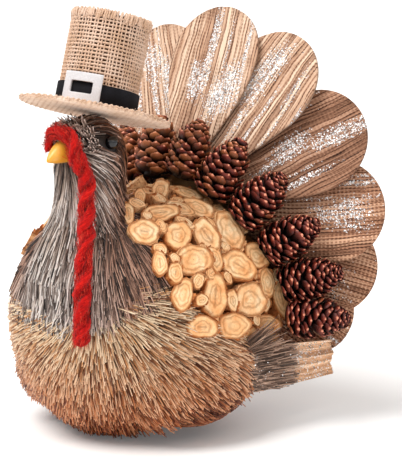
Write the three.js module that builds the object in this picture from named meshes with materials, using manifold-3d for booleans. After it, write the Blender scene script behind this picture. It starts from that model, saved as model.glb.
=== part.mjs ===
// A harvest turkey figure, in millimetres, +Z up: a bristle-coated bird of craft foam that faces -Y,
// with twig slices on its back, a ring of pine cones, a fan of bark feathers and a small burlap hat.
import * as THREE from 'three';
import { mergeVertices } from 'three/addons/utils/BufferGeometryUtils.js';
import Module from 'manifold-3d';

const wasm = await Module();
wasm.setup();

// Body: a foam egg that lies along Y, cut flat underneath and hollowed to the tail's cone behind
const BODY_HALF_WIDTH = 75;
const BODY_HALF_HEIGHT = 83;
const BODY_BELLY_DEPTH = 76;
const BODY_GROUND_GAP = 3;
const BODY_AXIS_HEIGHT = BODY_BELLY_DEPTH + BODY_GROUND_GAP;
const BODY_MIDDLE_Y = -118;
const BODY_NOSE_LENGTH = 79;
const BODY_REAR_LENGTH = 116;
const BELLY_RISE_START_Y = -84;
const BELLY_RISE = 46;
const BASE_PAD_THICKNESS = 8;
const BASE_PAD_INSET = 2;

// Clearances
const GLUE_GAP = 0.3;
const COAT_GAP = 0.4;

// Neck and head, turned about an upright axis
const NECK_AXIS_Y = -157;
const HEAD_HEIGHT = 203;
const HEAD_RADIUS = 21;
const HEAD_PEAK = 3;
const NECK_TOP_RADIUS = 19;
const NECK_TOP_HEIGHT = 176;
const NECK_MIDDLE_RADIUS = 22;
const NECK_MIDDLE_HEIGHT = 157;
const NECK_FLARE_RADIUS = 30;
const NECK_FLARE_HEIGHT = 140;
const NECK_FOOT_RADIUS = 39;
const NECK_FOOT_HEIGHT = 116;
const NECK_ROOT_HEIGHT = 104;
const DOWEL_RADIUS = 4;
const DOWEL_BOTTOM = 70;
const DOWEL_TOP = 186;

// Coats: a slice of backing, with strands glued into it
const COAT_THICKNESS = 3;
const COLLAR_RADIUS = 56;
const COLLAR_Y = -164;
const COLLAR_HEIGHT = 126;
const COLLAR_SPREAD = 1.2;
const COLLAR_REAR_Y = -145;
const COLLAR_SIDES = 20;
const FLANK_EDGE_Y = -150;
const FLANK_EDGE_HEIGHT = 105;
const FLANK_EDGE_FALL = 0.58;
const STRAND_SIZE = 1.05;
const STRAND_SINK = 5;
const STRAND_APART = 2.4;
const STRAND_CLEARANCE = 3;
const STRAND_EDGE_INSET = 7;
const STRAND_LIFT_SPREAD = 2;
const STRAND_LENGTH_SPREAD = 0.1;
const STRAND_ROLL_STEP = 2.4;
const BREAST_STRAND_LENGTH = 20;
const BREAST_STRAND_LIFT = 24;
const BREAST_ROW_STEP = 9.2;
const BREAST_STRAND_STEP = 6.4;
const BREAST_FIRST_ROW = 69;
const BREAST_ROWS = 13;
const NECK_STRAND_LENGTH = 13;
const NECK_STRAND_LIFT = 26;
const NECK_ROW_STEP = 8.2;
const NECK_STRAND_STEP = 7.2;

// Beak, eyes and wattle
const BEAK_RAISE = 2.8;
const BEAK_HEIGHT = HEAD_HEIGHT + BEAK_RAISE;
const BEAK_RADIUS = 8.5;
const BEAK_LENGTH = 17;
const BEAK_DROOP = 5.2;
const BEAK_ROOT = 6;
const BEAK_STEPS = 7;
const BEAK_SIDES = 14;
const EYE_RADIUS = 4.6;
const EYE_TURN = 88;
const EYE_RAISE = 19;
const EYE_DEPTH = 0.8;
const WATTLE_RADIUS = 5.4;
const WATTLE_TURN = 40;
const WATTLE_END_TURN = 34;
const WATTLE_END_HEIGHT = 79;
const WATTLE_STEPS = 26;
const WATTLE_FALL_POINTS = 9;
const WATTLE_LOOP_TURNS = [-62, -30, 0, 35, 70, 98];

// Tail fan: feathers on a cone that opens to the rear
const TAIL_APEX_Y = -66;
const TAIL_APEX_HEIGHT = 142.5;
const TAIL_SWEEP = 24.2;
const TAIL_REACH = 161;
const TAIL_REACH_FALL = 2.2;
const FEATHER_SPACING = [0, 27.5, 29.5, 27, 21.5, 21];
const FEATHER_TWIST = 9;
const FEATHER_RAISE = 1.7;
const FEATHER_THICKNESS = 2.2;
const FEATHER_ROOT = 36;
const FEATHER_ROOT_WIDTH = 13;
const FEATHER_WIDTH = 76;
const FEATHER_WIDTH_FALL = 1.2;
const FEATHER_SWELL = 1.25;
const FEATHER_GROOVES = 4;
const FEATHER_GROOVE_DEPTH = 0.4;
const FEATHER_PADDLE_SHARES = [0, 0.35, 0.7, 1];
const FEATHER_TIP_SHARES = [0.5, 0.82, 0.975];
const BACK_DISC_RADIUS = 66;
const BACK_DISC_THICKNESS = 2.5;
const BACK_DISC_MARGIN = 5;
const BACK_DISC_SIDES = 30;

// Pine cones round the back's rim
const CONE_COUNT = 12;
const CONE_FIRST_TURN = -90;
const CONE_STEP = 16.3;
const CONE_LENGTH = 49;
const CONE_RADIUS = 15;
const CONE_TIERS = 5;
const CONE_SCALES = 5;
const CONE_FOOT_SHARE = 0.62;
const CONE_VALLEY_SHARE = 0.8;
const CONE_SEAT = 6;
const CONE_GAP = 0.42;
const CONE_FACE_STEPS = 6;
const CONE_SEAT_PASSES = 8;

// Twig slices over the back
const SLICE_THICKNESS = 7.6;
const SLICE_HALF_LENGTH = 10.2;
const SLICE_HALF_WIDTH = 7.7;
const SLICE_ROW_STEP = 16.8;
const SLICE_FIRST_ROW_Y = -137;
const SLICE_ROWS = 6;
const SLICE_LAP = 1.13;
const SLICE_SIZE_SPREAD = 0.05;
const SLICE_HEIGHT_SPREAD = 0.5;
const SLICE_TUCK = 4;
const NECK_ROOM = COAT_THICKNESS + NECK_STRAND_LENGTH * 0.4;
const SLICE_SIDES = 7;

// Wings
const WING_ROOT_Y = -106;
const WING_HEIGHT = 47;
const WING_LENGTH = 98;
const WING_FLARE = 18;
const WING_DEPTH = 34;
const WING_END_DEPTH = 25;
const WING_PAD_LENGTH = 30;
const WING_PAD_THICKNESS = 6;
const WING_STAND = 2;
const WING_STRAND_LENGTH = 42;
const WING_STRAND_ROWS = [
  { count: 12, along: 0.5, spread: 0.4, lean: 0.16 },
  { count: 7, along: 0.9, spread: 0.22, lean: 0.06 },
];
const WING_STRAND_FAN = 7;
const VENEER_THICKNESS = 1.6;
const VENEER_PLEATS = 5;
const VENEER_PLEAT_DEPTH = 1.5;
const VENEER_SCALLOP = 2.5;

// Hat, tilted back on the head
const HAT_TILT = 17;
const HAT_SEAT = 25.6;
const HAT_FORWARD = 0.5;
const BRIM_RADIUS = 51.5;
const BRIM_THICKNESS = 3;
const CROWN_RADIUS = 27;
const CROWN_HEIGHT = 63;
const CROWN_WALL = 2;
const CROWN_TOP_RECESS = 3.5;
const CROWN_TOP_THICKNESS = 2;
const BAND_HEIGHT = 12.7;
const BAND_THICKNESS = 0.9;
const BAND_RAISE = 1.2;
const BUCKLE_WIDTH = 28;
const BUCKLE_HEIGHT = 20;
const BUCKLE_THICKNESS = 1.8;
const BUCKLE_FRAME = 6;
const BUCKLE_TURN = 17;

// Longer than the whole figure, for bodies that cut
const BEYOND = 600;
const RADIANS = Math.PI / 180;
const UP = new THREE.Vector3(0, 0, 1);

// Materials
const finish = (color, roughness) => new THREE.MeshStandardMaterial({ color, roughness, metalness: 0 });
const FOAM = finish(0x75543a, 0.9);
const FELT_PAD = finish(0x8a6f52, 0.95);
const DOWEL_WOOD = finish(0xd9b98a, 0.7);
const TAN_STRAW = finish(0xc79a66, 0.75);
const GREY_STRAW = finish(0x84766c, 0.75);
const TWIG = finish(0xdcb277, 0.7);
const CONE_BROWN = finish(0x5c2d1a, 0.6);
const BARK = finish(0xb08f6c, 0.8);
const KRAFT = finish(0xa9825a, 0.9);
const VENEER = finish(0xb9966c, 0.6);
const HORN = finish(0xe0a136, 0.35);
const BEAD = finish(0x101012, 0.12);
const RED_WOOL = finish(0xb51d1d, 0.95);
const BURLAP = finish(0xcfa878, 0.9);
const RIBBON = finish(0x17171b, 0.6);
const WHITE_FELT = finish(0xf1efe8, 0.95);

// Solids: a closed geometry to cut and join, and back
function solid(geometry) {
  const bare = new THREE.BufferGeometry();
  bare.setAttribute('position', geometry.getAttribute('position').clone());
  bare.setIndex(geometry.index ? geometry.index.clone() : null);
  const merged = mergeVertices(bare, 1e-4);
  return new wasm.Manifold(
    new wasm.Mesh({
      numProp: 3,
      vertProperties: new Float32Array(merged.getAttribute('position').array),
      triVerts: new Uint32Array(merged.index.array),
    }),
  );
}

function geometryOf(body) {
  const mesh = body.getMesh();
  const geometry = new THREE.BufferGeometry();
  geometry.setAttribute('position', new THREE.BufferAttribute(new Float32Array(mesh.vertProperties), 3));
  geometry.setIndex(new THREE.BufferAttribute(new Uint32Array(mesh.triVerts), 1));
  geometry.computeVertexNormals();
  return geometry;
}

// Triangles that close a ring of points, as places in it, facing the way that it turns about
function capFaces(ring) {
  const normal = new THREE.Vector3();
  ring.forEach((point, i) => {
    const next = ring[(i + 1) % ring.length];
    normal.add(point.clone().sub(ring[0]).cross(next.clone().sub(ring[0])));
  });
  normal.normalize();
  const wide = ring[1].clone().sub(ring[0]).projectOnPlane(normal).normalize();
  const high = new THREE.Vector3().crossVectors(normal, wide);
  const flat = ring.map((point) => new THREE.Vector2(point.dot(wide), point.dot(high)));
  return THREE.ShapeUtils.triangulateShape(flat, []).map(([a, b, c]) => {
    const turn = flat[b].clone().sub(flat[a]).cross(flat[c].clone().sub(flat[a]));
    return turn > 0 ? [a, b, c] : [a, c, b];
  });
}

// A closed skin over rings of points; each ring turns anticlockwise about the way the rings run
function loft(rings) {
  const count = rings[0].length;
  const last = (rings.length - 1) * count;
  const index = [];
  for (let row = 0; row < last; row += count) {
    for (let j = 0; j < count; j += 1) {
      const a = row + j;
      const b = row + ((j + 1) % count);
      index.push(a, b, b + count, a, b + count, a + count);
    }
  }
  capFaces(rings[0]).forEach(([a, b, c]) => index.push(a, c, b));
  capFaces(rings[rings.length - 1]).forEach(([a, b, c]) => index.push(last + a, last + b, last + c));
  const geometry = new THREE.BufferGeometry().setFromPoints(rings.flat());
  geometry.setIndex(index);
  return geometry;
}

const placed = (geometry, x, y, z) => geometry.clone().translate(x, y, z);
const wave = (n) => Math.sin(n * 12.9898 + 4.1414) * 0.5 + Math.sin(n * 7.233) * 0.5;

// Body form, grown by an offset on every side
const NOSE_STEPS = 5;
const REAR_STEPS = 4;
const BODY_SIDES = 20;
const HOLLOW_SIDES = 32;

function bellyRise(y) {
  const past = Math.max(0, y - BELLY_RISE_START_Y);
  const run = BODY_MIDDLE_Y + BODY_REAR_LENGTH - BELLY_RISE_START_Y;
  return BELLY_RISE * (past / run) ** 2;
}

function bodySection(y, offset) {
  const ahead = Math.max(0, BODY_MIDDLE_Y - y);
  const share = Math.sqrt(Math.max(0, 1 - (ahead / (BODY_NOSE_LENGTH + offset)) ** 2));
  const top = BODY_AXIS_HEIGHT + (BODY_HALF_HEIGHT + offset) * share;
  const bottom = BODY_AXIS_HEIGHT - (BODY_BELLY_DEPTH + offset) * share + bellyRise(y);
  const width = (BODY_HALF_WIDTH + offset) * share;
  return { width, middle: (top + bottom) / 2, height: (top - bottom) / 2 };
}

function bodyForm(offset) {
  const stations = [];
  for (let i = 1; i <= NOSE_STEPS; i += 1) {
    const turn = ((i - 0.3) / (NOSE_STEPS - 0.3)) * (Math.PI / 2);
    stations.push(BODY_MIDDLE_Y - (BODY_NOSE_LENGTH + offset) * Math.cos(turn));
  }
  for (let i = 1; i <= REAR_STEPS; i += 1) {
    stations.push(BODY_MIDDLE_Y + ((BODY_REAR_LENGTH + offset) * i) / REAR_STEPS);
  }
  const rings = stations.map((y) => {
    const { width, middle, height } = bodySection(y, offset);
    const ring = [];
    for (let j = 0; j < BODY_SIDES; j += 1) {
      const turn = (j / BODY_SIDES) * 2 * Math.PI;
      ring.push(new THREE.Vector3(width * Math.sin(turn), y, middle + height * Math.cos(turn)));
    }
    return ring;
  });
  return solid(loft(rings));
}

// How far a point lies outside the body form: below zero is inside
function outsideBody(point, offset) {
  const { width, middle, height } = bodySection(point.y, offset);
  if (width < 1e-6) {
    return 1;
  }
  return (point.x / width) ** 2 + ((point.z - middle) / height) ** 2 - 1;
}

function bodyNormal(point, offset) {
  const step = 0.05;
  const slope = (axis) => {
    const a = point.clone();
    const b = point.clone();
    a[axis] -= step;
    b[axis] += step;
    return outsideBody(b, offset) - outsideBody(a, offset);
  };
  return new THREE.Vector3(slope('x'), slope('y'), slope('z')).normalize();
}

// Neck and head form, turned about its axis and grown by an offset
const HEAD_STEPS = 4;
const NECK_SIDES = 18;
const NECK_PROFILE = [
  [NECK_FOOT_RADIUS, NECK_FOOT_HEIGHT],
  [(NECK_FOOT_RADIUS + NECK_FLARE_RADIUS) / 2 + 0.5, (NECK_FOOT_HEIGHT + NECK_FLARE_HEIGHT) / 2],
  [NECK_FLARE_RADIUS, NECK_FLARE_HEIGHT],
  [NECK_MIDDLE_RADIUS, NECK_MIDDLE_HEIGHT],
  [NECK_TOP_RADIUS, NECK_TOP_HEIGHT],
];

function neckRadius(height) {
  const last = NECK_PROFILE.length - 1;
  if (height <= NECK_PROFILE[0][1]) {
    return NECK_PROFILE[0][0];
  }
  for (let i = 0; i < last; i += 1) {
    const [r0, z0] = NECK_PROFILE[i];
    const [r1, z1] = NECK_PROFILE[i + 1];
    if (height <= z1) {
      return r0 + ((r1 - r0) * (height - z0)) / (z1 - z0);
    }
  }
  const above = height - HEAD_HEIGHT;
  const ball = Math.sqrt(Math.max(0, HEAD_RADIUS ** 2 - above ** 2));
  return above < 0 ? Math.max(NECK_TOP_RADIUS, ball) : ball;
}

function neckForm(offset) {
  const profile = [new THREE.Vector2(0, NECK_ROOT_HEIGHT - offset)];
  NECK_PROFILE.forEach(([radius, height], i) => {
    profile.push(new THREE.Vector2(radius + offset, height - (i === 0 ? offset : 0)));
  });
  const head = HEAD_RADIUS + offset;
  const join = Math.atan2(HEAD_HEIGHT - NECK_TOP_HEIGHT, NECK_TOP_RADIUS);
  for (let i = 1; i < HEAD_STEPS; i += 1) {
    const turn = -join + ((Math.PI / 2 + join) * i) / HEAD_STEPS;
    profile.push(new THREE.Vector2(head * Math.cos(turn), HEAD_HEIGHT + head * Math.sin(turn)));
  }
  profile.push(new THREE.Vector2(0, HEAD_HEIGHT + head + HEAD_PEAK));
  const turned = new THREE.LatheGeometry(profile, NECK_SIDES).rotateX(Math.PI / 2);
  return solid(placed(turned, 0, NECK_AXIS_Y, 0));
}

// Cutting bodies
function halfSpaceBelow(height) {
  return solid(placed(new THREE.BoxGeometry(BEYOND, BEYOND, BEYOND), 0, 0, height - BEYOND / 2));
}

function tailHollow(gap) {
  const start = bedFront() - gap / Math.cos(TAIL_SWEEP * RADIANS);
  const profile = [
    new THREE.Vector2(0, start),
    new THREE.Vector2(BEYOND, start + BEYOND * Math.tan(TAIL_SWEEP * RADIANS)),
    new THREE.Vector2(BEYOND, start + BEYOND),
    new THREE.Vector2(0, start + BEYOND),
  ];
  return solid(placed(new THREE.LatheGeometry(profile, HOLLOW_SIDES), 0, 0, TAIL_APEX_HEIGHT));
}

// The collar: an egg that spreads sideways, cut off behind the neck
function collarEgg(offset) {
  const egg = new THREE.SphereGeometry(COLLAR_RADIUS + offset, COLLAR_SIDES, COLLAR_SIDES / 2);
  egg.scale(COLLAR_SPREAD, 1, 1);
  const behind = placed(new THREE.BoxGeometry(BEYOND, BEYOND, BEYOND), 0, COLLAR_REAR_Y + offset + BEYOND / 2, 0);
  return solid(placed(egg, 0, COLLAR_Y, COLLAR_HEIGHT)).subtract(solid(behind));
}

// How far a point lies outside the collar: below zero is inside
function outsideCollar(point) {
  const from = new THREE.Vector3(point.x / COLLAR_SPREAD, point.y - COLLAR_Y, point.z - COLLAR_HEIGHT);
  return Math.max(from.length() - COLLAR_RADIUS, point.y - COLLAR_REAR_Y);
}

const HEAD_CENTRE = new THREE.Vector3(0, NECK_AXIS_Y, HEAD_HEIGHT);
const HAT_AXIS = new THREE.Vector3(0, Math.sin(HAT_TILT * RADIANS), Math.cos(HAT_TILT * RADIANS));
const HAT_FRONT = new THREE.Vector3(0, -Math.cos(HAT_TILT * RADIANS), Math.sin(HAT_TILT * RADIANS));
const HAT_ORIGIN = HEAD_CENTRE.clone()
  .addScaledVector(HAT_AXIS, HAT_SEAT)
  .addScaledVector(HAT_FRONT, HAT_FORWARD);

function aboveHatSeat() {
  const block = new THREE.BoxGeometry(BEYOND, BEYOND, BEYOND);
  block.translate(0, 0, BEYOND / 2 - GLUE_GAP);
  block.rotateX(-HAT_TILT * RADIANS);
  return solid(placed(block, HAT_ORIGIN.x, HAT_ORIGIN.y, HAT_ORIGIN.z));
}

// Everything to one side of the sloping edge between the coat and the slices
function besideFlankEdge(middle) {
  const block = new THREE.BoxGeometry(BEYOND, BEYOND, BEYOND);
  block.translate(0, 0, middle);
  block.rotateX(-Math.atan(FLANK_EDGE_FALL));
  return solid(placed(block, 0, FLANK_EDGE_Y, FLANK_EDGE_HEIGHT));
}

const flankEdge = (y) => FLANK_EDGE_HEIGHT - FLANK_EDGE_FALL * (y - FLANK_EDGE_Y);

function eyeCentre(side) {
  const out = HEAD_RADIUS + COAT_THICKNESS - EYE_DEPTH;
  const flat = out * Math.cos(EYE_RAISE * RADIANS);
  return new THREE.Vector3(
    side * flat * Math.sin(EYE_TURN * RADIANS),
    -flat * Math.cos(EYE_TURN * RADIANS),
    out * Math.sin(EYE_RAISE * RADIANS),
  ).add(HEAD_CENTRE);
}

function eyeBall(side, offset) {
  const centre = eyeCentre(side);
  return placed(new THREE.SphereGeometry(EYE_RADIUS + offset, 10, 6), centre.x, centre.y, centre.z);
}

const STRAND_SHARES = [0, 0.125, 0.25, 0.375, 0.5, 0.625, 0.75, 0.875, 1];

// Strands: three-sided straws, sunk a little into their backing
function strand(root, way, length, roll) {
  const section = new THREE.Shape();
  for (let i = 0; i < 3; i += 1) {
    const turn = roll + (i * 2 * Math.PI) / 3;
    section[i ? 'lineTo' : 'moveTo'](STRAND_SIZE * Math.cos(turn), STRAND_SIZE * Math.sin(turn));
  }
  section.closePath();
  const depth = length + STRAND_SINK;
  const straw = new THREE.ExtrudeGeometry(section, { depth, bevelEnabled: false, steps: 1 });
  const turn = new THREE.Quaternion().setFromUnitVectors(UP, way);
  const start = root.clone().addScaledVector(way, -STRAND_SINK);
  straw.applyMatrix4(new THREE.Matrix4().compose(start, turn, new THREE.Vector3(1, 1, 1)));
  return solid(straw);
}

// Whether a strand keeps its distance from those already set, which it then joins
function joinsClear(root, tip, others) {
  const line = new THREE.Line3(root, tip);
  const nearest = new THREE.Vector3();
  const clear = others.every((other) =>
    STRAND_SHARES.every((share) => {
      const point = other.at(share, new THREE.Vector3());
      line.closestPointToPoint(point, true, nearest);
      return nearest.distanceTo(point) > STRAND_APART;
    }),
  );
  if (clear) {
    others.push(line);
  }
  return clear;
}

// The way a strand lies: along the surface, away from a point, lifted by an angle
function combed(point, normal, from, lift) {
  const away = point.clone().sub(from);
  away.addScaledVector(normal, -away.dot(normal)).normalize();
  return away.multiplyScalar(Math.cos(lift * RADIANS)).addScaledVector(normal, Math.sin(lift * RADIANS));
}

const COLLAR_CENTRE = new THREE.Vector3(0, COLLAR_Y, COLLAR_HEIGHT);

// Roots of the breast strands: rows at growing distance from the collar's centre
function breastRoots() {
  const into = new THREE.Vector3(0, BODY_MIDDLE_Y, BODY_AXIS_HEIGHT).sub(COLLAR_CENTRE).normalize();
  const side = new THREE.Vector3(1, 0, 0);
  const ahead = new THREE.Vector3().crossVectors(into, side);
  const roots = [];
  for (let row = 0; row < BREAST_ROWS; row += 1) {
    const distance = BREAST_FIRST_ROW + row * BREAST_ROW_STEP;
    const count = Math.round((2 * Math.PI * Math.min(distance, BODY_HALF_WIDTH)) / BREAST_STRAND_STEP);
    for (let i = 0; i < count; i += 1) {
      const turn = ((i + (row % 2) / 2) / count) * 2 * Math.PI;
      const out = side.clone().multiplyScalar(Math.cos(turn)).addScaledVector(ahead, Math.sin(turn));
      let near = 0;
      let far = Math.PI / 2;
      const at = (lean) =>
        COLLAR_CENTRE.clone()
          .addScaledVector(out, distance * Math.cos(lean))
          .addScaledVector(into, distance * Math.sin(lean));
      for (let halving = 0; halving < 30; halving += 1) {
        const middle = (near + far) / 2;
        if (outsideBody(at(middle), COAT_THICKNESS) > 0) {
          near = middle;
        } else {
          far = middle;
        }
      }
      roots.push(at(far));
    }
  }
  return roots;
}

function breastCoat() {
  const straws = [];
  const lines = [];
  breastRoots().forEach((root, i) => {
    const inFlank = root.z < flankEdge(root.y) - STRAND_EDGE_INSET;
    const normal = bodyNormal(root, COAT_THICKNESS);
    const way = combed(root, normal, COLLAR_CENTRE, BREAST_STRAND_LIFT + STRAND_LIFT_SPREAD * wave(i));
    const length = BREAST_STRAND_LENGTH * (1 + STRAND_LENGTH_SPREAD * wave(i + 0.5));
    const tip = root.clone().addScaledVector(way, length);
    const aboveGround = Math.min(tip.z, root.z) > BASE_PAD_THICKNESS + STRAND_CLEARANCE;
    const clearOfWing = root.y < WING_ROOT_Y - BREAST_STRAND_LENGTH || root.z < WING_HEIGHT - WING_DEPTH;
    const beforeTail = root.y < BODY_MIDDLE_Y + BODY_REAR_LENGTH / 2;
    const inCoat = inFlank && outsideCollar(root) > STRAND_EDGE_INSET;
    if (inCoat && aboveGround && clearOfWing && beforeTail && joinsClear(root, tip, lines)) {
      straws.push(strand(root, way, length, i * STRAND_ROLL_STEP));
    }
  });
  return wasm.Manifold.union([bodyForm(COAT_THICKNESS), ...straws])
    .subtract(bodyForm(GLUE_GAP))
    .subtract(besideFlankEdge(BEYOND / 2))
    .subtract(halfSpaceBelow(BASE_PAD_THICKNESS))
    .subtract(tailHollow(COAT_GAP))
    .subtract(collarEgg(COAT_GAP))
    .subtract(neckForm(COAT_THICKNESS + COAT_GAP));
}

// The side of the neck that the wattle hangs on, as a turn from straight ahead
function wattleTurn(height) {
  const share = THREE.MathUtils.clamp((HEAD_HEIGHT - height) / (HEAD_HEIGHT - WATTLE_END_HEIGHT), 0, 1);
  return (WATTLE_TURN + (WATTLE_END_TURN - WATTLE_TURN) * share) * RADIANS;
}

// Roots of the neck strands: rows down the head and neck, on the turned form
function neckRoots() {
  const roots = [];
  const top = HEAD_HEIGHT + HEAD_RADIUS * 0.75;
  const rows = Math.round((top - NECK_FOOT_HEIGHT) / NECK_ROW_STEP);
  for (let row = 0; row <= rows; row += 1) {
    const height = top - row * NECK_ROW_STEP;
    const radius = neckRadius(height) + COAT_THICKNESS;
    const count = Math.round((2 * Math.PI * radius) / NECK_STRAND_STEP);
    for (let i = 0; i < count; i += 1) {
      const turn = ((i + (row % 2) / 2) / count) * 2 * Math.PI;
      const out = new THREE.Vector3(Math.sin(turn), -Math.cos(turn), 0);
      const slope = (neckRadius(height + 1) - neckRadius(height - 1)) / 2;
      const normal = out.clone().addScaledVector(UP, -slope).normalize();
      const root = new THREE.Vector3(0, NECK_AXIS_Y, height).addScaledVector(out, radius);
      roots.push({ root, normal, turn });
    }
  }
  return roots;
}

function neckCoat() {
  const skirt = bodyForm(COAT_THICKNESS).intersect(collarEgg(0));
  const beakRoot = new THREE.Vector3(0, HEAD_CENTRE.y - HEAD_RADIUS, BEAK_HEIGHT);
  const straws = [];
  const lines = [];
  neckRoots().forEach(({ root, normal, turn }, i) => {
    const way = combed(root, normal, beakRoot, NECK_STRAND_LIFT + STRAND_LIFT_SPREAD * wave(i));
    const length = NECK_STRAND_LENGTH * (1 + STRAND_LENGTH_SPREAD * wave(i + 0.5));
    const tip = root.clone().addScaledVector(way, length);
    const fromAxis = root.distanceTo(HEAD_CENTRE.clone().setZ(root.z));
    const underWattle = Math.abs(turn - wattleTurn(root.z)) * fromAxis;
    const clearOfWattle = root.z > HEAD_HEIGHT || underWattle > WATTLE_RADIUS + STRAND_CLEARANCE;
    const clearOfBeak = root.distanceTo(beakRoot) > BEAK_RADIUS + WATTLE_RADIUS * 2 + STRAND_CLEARANCE;
    const clearOfEyes = [-1, 1].every((side) => {
      const eye = eyeCentre(side);
      const along = THREE.MathUtils.clamp(eye.clone().sub(root).dot(way), 0, length);
      return root.clone().addScaledVector(way, along).distanceTo(eye) > EYE_RADIUS + STRAND_CLEARANCE;
    });
    const overCollar = outsideCollar(tip) < -STRAND_APART;
    const covered = overCollar ? COAT_THICKNESS : SLICE_THICKNESS;
    const clearOfBody = outsideBody(tip, covered + STRAND_CLEARANCE) > 0;
    if (clearOfWattle && clearOfBeak && clearOfEyes && clearOfBody && joinsClear(root, tip, lines)) {
      straws.push(strand(root, way, length, i * STRAND_ROLL_STEP));
    }
  });
  return wasm.Manifold.union([neckForm(COAT_THICKNESS), skirt, ...straws])
    .subtract(neckForm(GLUE_GAP))
    .subtract(bodyForm(GLUE_GAP))
    .subtract(aboveHatSeat())
    .subtract(solid(eyeBall(1, GLUE_GAP)))
    .subtract(solid(eyeBall(-1, GLUE_GAP)));
}

// Cores
function dowelRod(offset) {
  const length = DOWEL_TOP - DOWEL_BOTTOM + 2 * offset;
  const rod = new THREE.CylinderGeometry(DOWEL_RADIUS + offset, DOWEL_RADIUS + offset, length, 16);
  rod.rotateX(Math.PI / 2);
  return placed(rod, 0, NECK_AXIS_Y, (DOWEL_TOP + DOWEL_BOTTOM) / 2);
}

function bodyCore() {
  return bodyForm(0)
    .subtract(halfSpaceBelow(BASE_PAD_THICKNESS))
    .subtract(tailHollow(GLUE_GAP))
    .subtract(solid(dowelRod(GLUE_GAP)));
}

function neckCore() {
  return neckForm(0)
    .subtract(bodyForm(GLUE_GAP))
    .subtract(solid(dowelRod(GLUE_GAP)))
    .subtract(solid(eyeBall(1, GLUE_GAP)))
    .subtract(solid(eyeBall(-1, GLUE_GAP)));
}

// The flat underside's outline, drawn in, makes the pad
function basePad() {
  const belly = geometryOf(bodyForm(-BASE_PAD_INSET).intersect(halfSpaceBelow(BASE_PAD_THICKNESS)));
  const low = new THREE.Box3().setFromBufferAttribute(belly.getAttribute('position'));
  const size = low.getSize(new THREE.Vector3());
  const middle = low.getCenter(new THREE.Vector3());
  const outline = new THREE.Shape();
  outline.absellipse(middle.x, middle.y, size.x / 2, size.y / 2, 0, 2 * Math.PI);
  const curveSegments = 18;
  return new THREE.ExtrudeGeometry(outline, { depth: BASE_PAD_THICKNESS, bevelEnabled: false, curveSegments });
}

// Tail feathers: paddles with lengthwise grooves, each with its own frame on the cone
function featherFrame(turn, rank, side) {
  const swept = TAIL_SWEEP * RADIANS;
  const along = new THREE.Vector3(
    Math.sin(turn) * Math.cos(swept),
    Math.sin(swept),
    Math.cos(turn) * Math.cos(swept),
  );
  const across = new THREE.Vector3(Math.cos(turn), 0, -Math.sin(turn));
  const twist = rank === 0 ? 0 : -side * FEATHER_TWIST * RADIANS;
  across.applyAxisAngle(along, twist);
  const front = new THREE.Vector3().crossVectors(across, along);
  const origin = new THREE.Vector3(0, TAIL_APEX_Y, TAIL_APEX_HEIGHT);
  if (rank === 0) {
    origin.addScaledVector(front, FEATHER_RAISE);
  }
  return { along, across, front, origin, reach: TAIL_REACH - rank * TAIL_REACH_FALL, rank };
}

function featherFrames() {
  const frames = [];
  let turn = 0;
  FEATHER_SPACING.forEach((spacing, rank) => {
    turn += spacing;
    const sides = rank === 0 ? [1] : [-1, 1];
    sides.forEach((side) => frames.push(featherFrame(side * turn * RADIANS, rank, side)));
  });
  return frames;
}

// Half the room that a feather has beside its neighbour of the given rank, at a distance from the apex.
// The outer feather of two tucks its inner edge behind the other, so it may pass the line between them.
function roomBeside(distance, outerRank, tucked) {
  const swept = TAIL_SWEEP * RADIANS;
  const apart = Math.cos(FEATHER_SPACING[outerRank] * RADIANS);
  const between = Math.acos(Math.sin(swept) ** 2 + Math.cos(swept) ** 2 * apart);
  const fold = Math.acos(Math.cos(swept) ** 2 + Math.sin(swept) ** 2 * apart);
  const half = distance * Math.tan(between / 2);
  const twisted = half * Math.sin(FEATHER_TWIST * RADIANS);
  const step = outerRank === 1 ? twisted + FEATHER_RAISE : 2 * twisted;
  const spare = step - FEATHER_THICKNESS - 2 * COAT_GAP;
  if (spare < 0) {
    return half - COAT_GAP - FEATHER_THICKNESS / 2;
  }
  return tucked ? half + spare / Math.sin(fold) : Infinity;
}

// Half the paddle's width at a distance from the apex: narrow root, widening, then a round tip
function featherHalfWidth(distance, frame) {
  const { reach, rank } = frame;
  const half = (FEATHER_WIDTH - rank * FEATHER_WIDTH_FALL) / 2;
  const round = reach - half;
  let width = half;
  if (distance > round) {
    width = half * Math.sqrt(Math.max(0, 1 - ((distance - round) / (reach - round)) ** 2));
  } else {
    const share = (distance - FEATHER_ROOT) / (round - FEATHER_ROOT);
    const swell = Math.sin(share * 0.5 * Math.PI) ** FEATHER_SWELL;
    width = FEATHER_ROOT_WIDTH / 2 + (half - FEATHER_ROOT_WIDTH / 2) * swell;
  }
  const inner = rank > 0 ? roomBeside(distance, rank, true) : Infinity;
  const outer = rank < FEATHER_SPACING.length - 1 ? roomBeside(distance, rank + 1, false) : Infinity;
  return Math.min(width, inner, outer);
}

// The paddle's outline: distances from the apex with half its width at each
function featherOutline(frame) {
  const round = frame.reach - (FEATHER_WIDTH - frame.rank * FEATHER_WIDTH_FALL) / 2;
  const paddle = FEATHER_PADDLE_SHARES.map((share) => FEATHER_ROOT + (round - FEATHER_ROOT) * share);
  const tip = FEATHER_TIP_SHARES.map((share) => round + (frame.reach - round) * share);
  return [...paddle, ...tip].map((distance) => ({ distance, half: featherHalfWidth(distance, frame) }));
}

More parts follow.
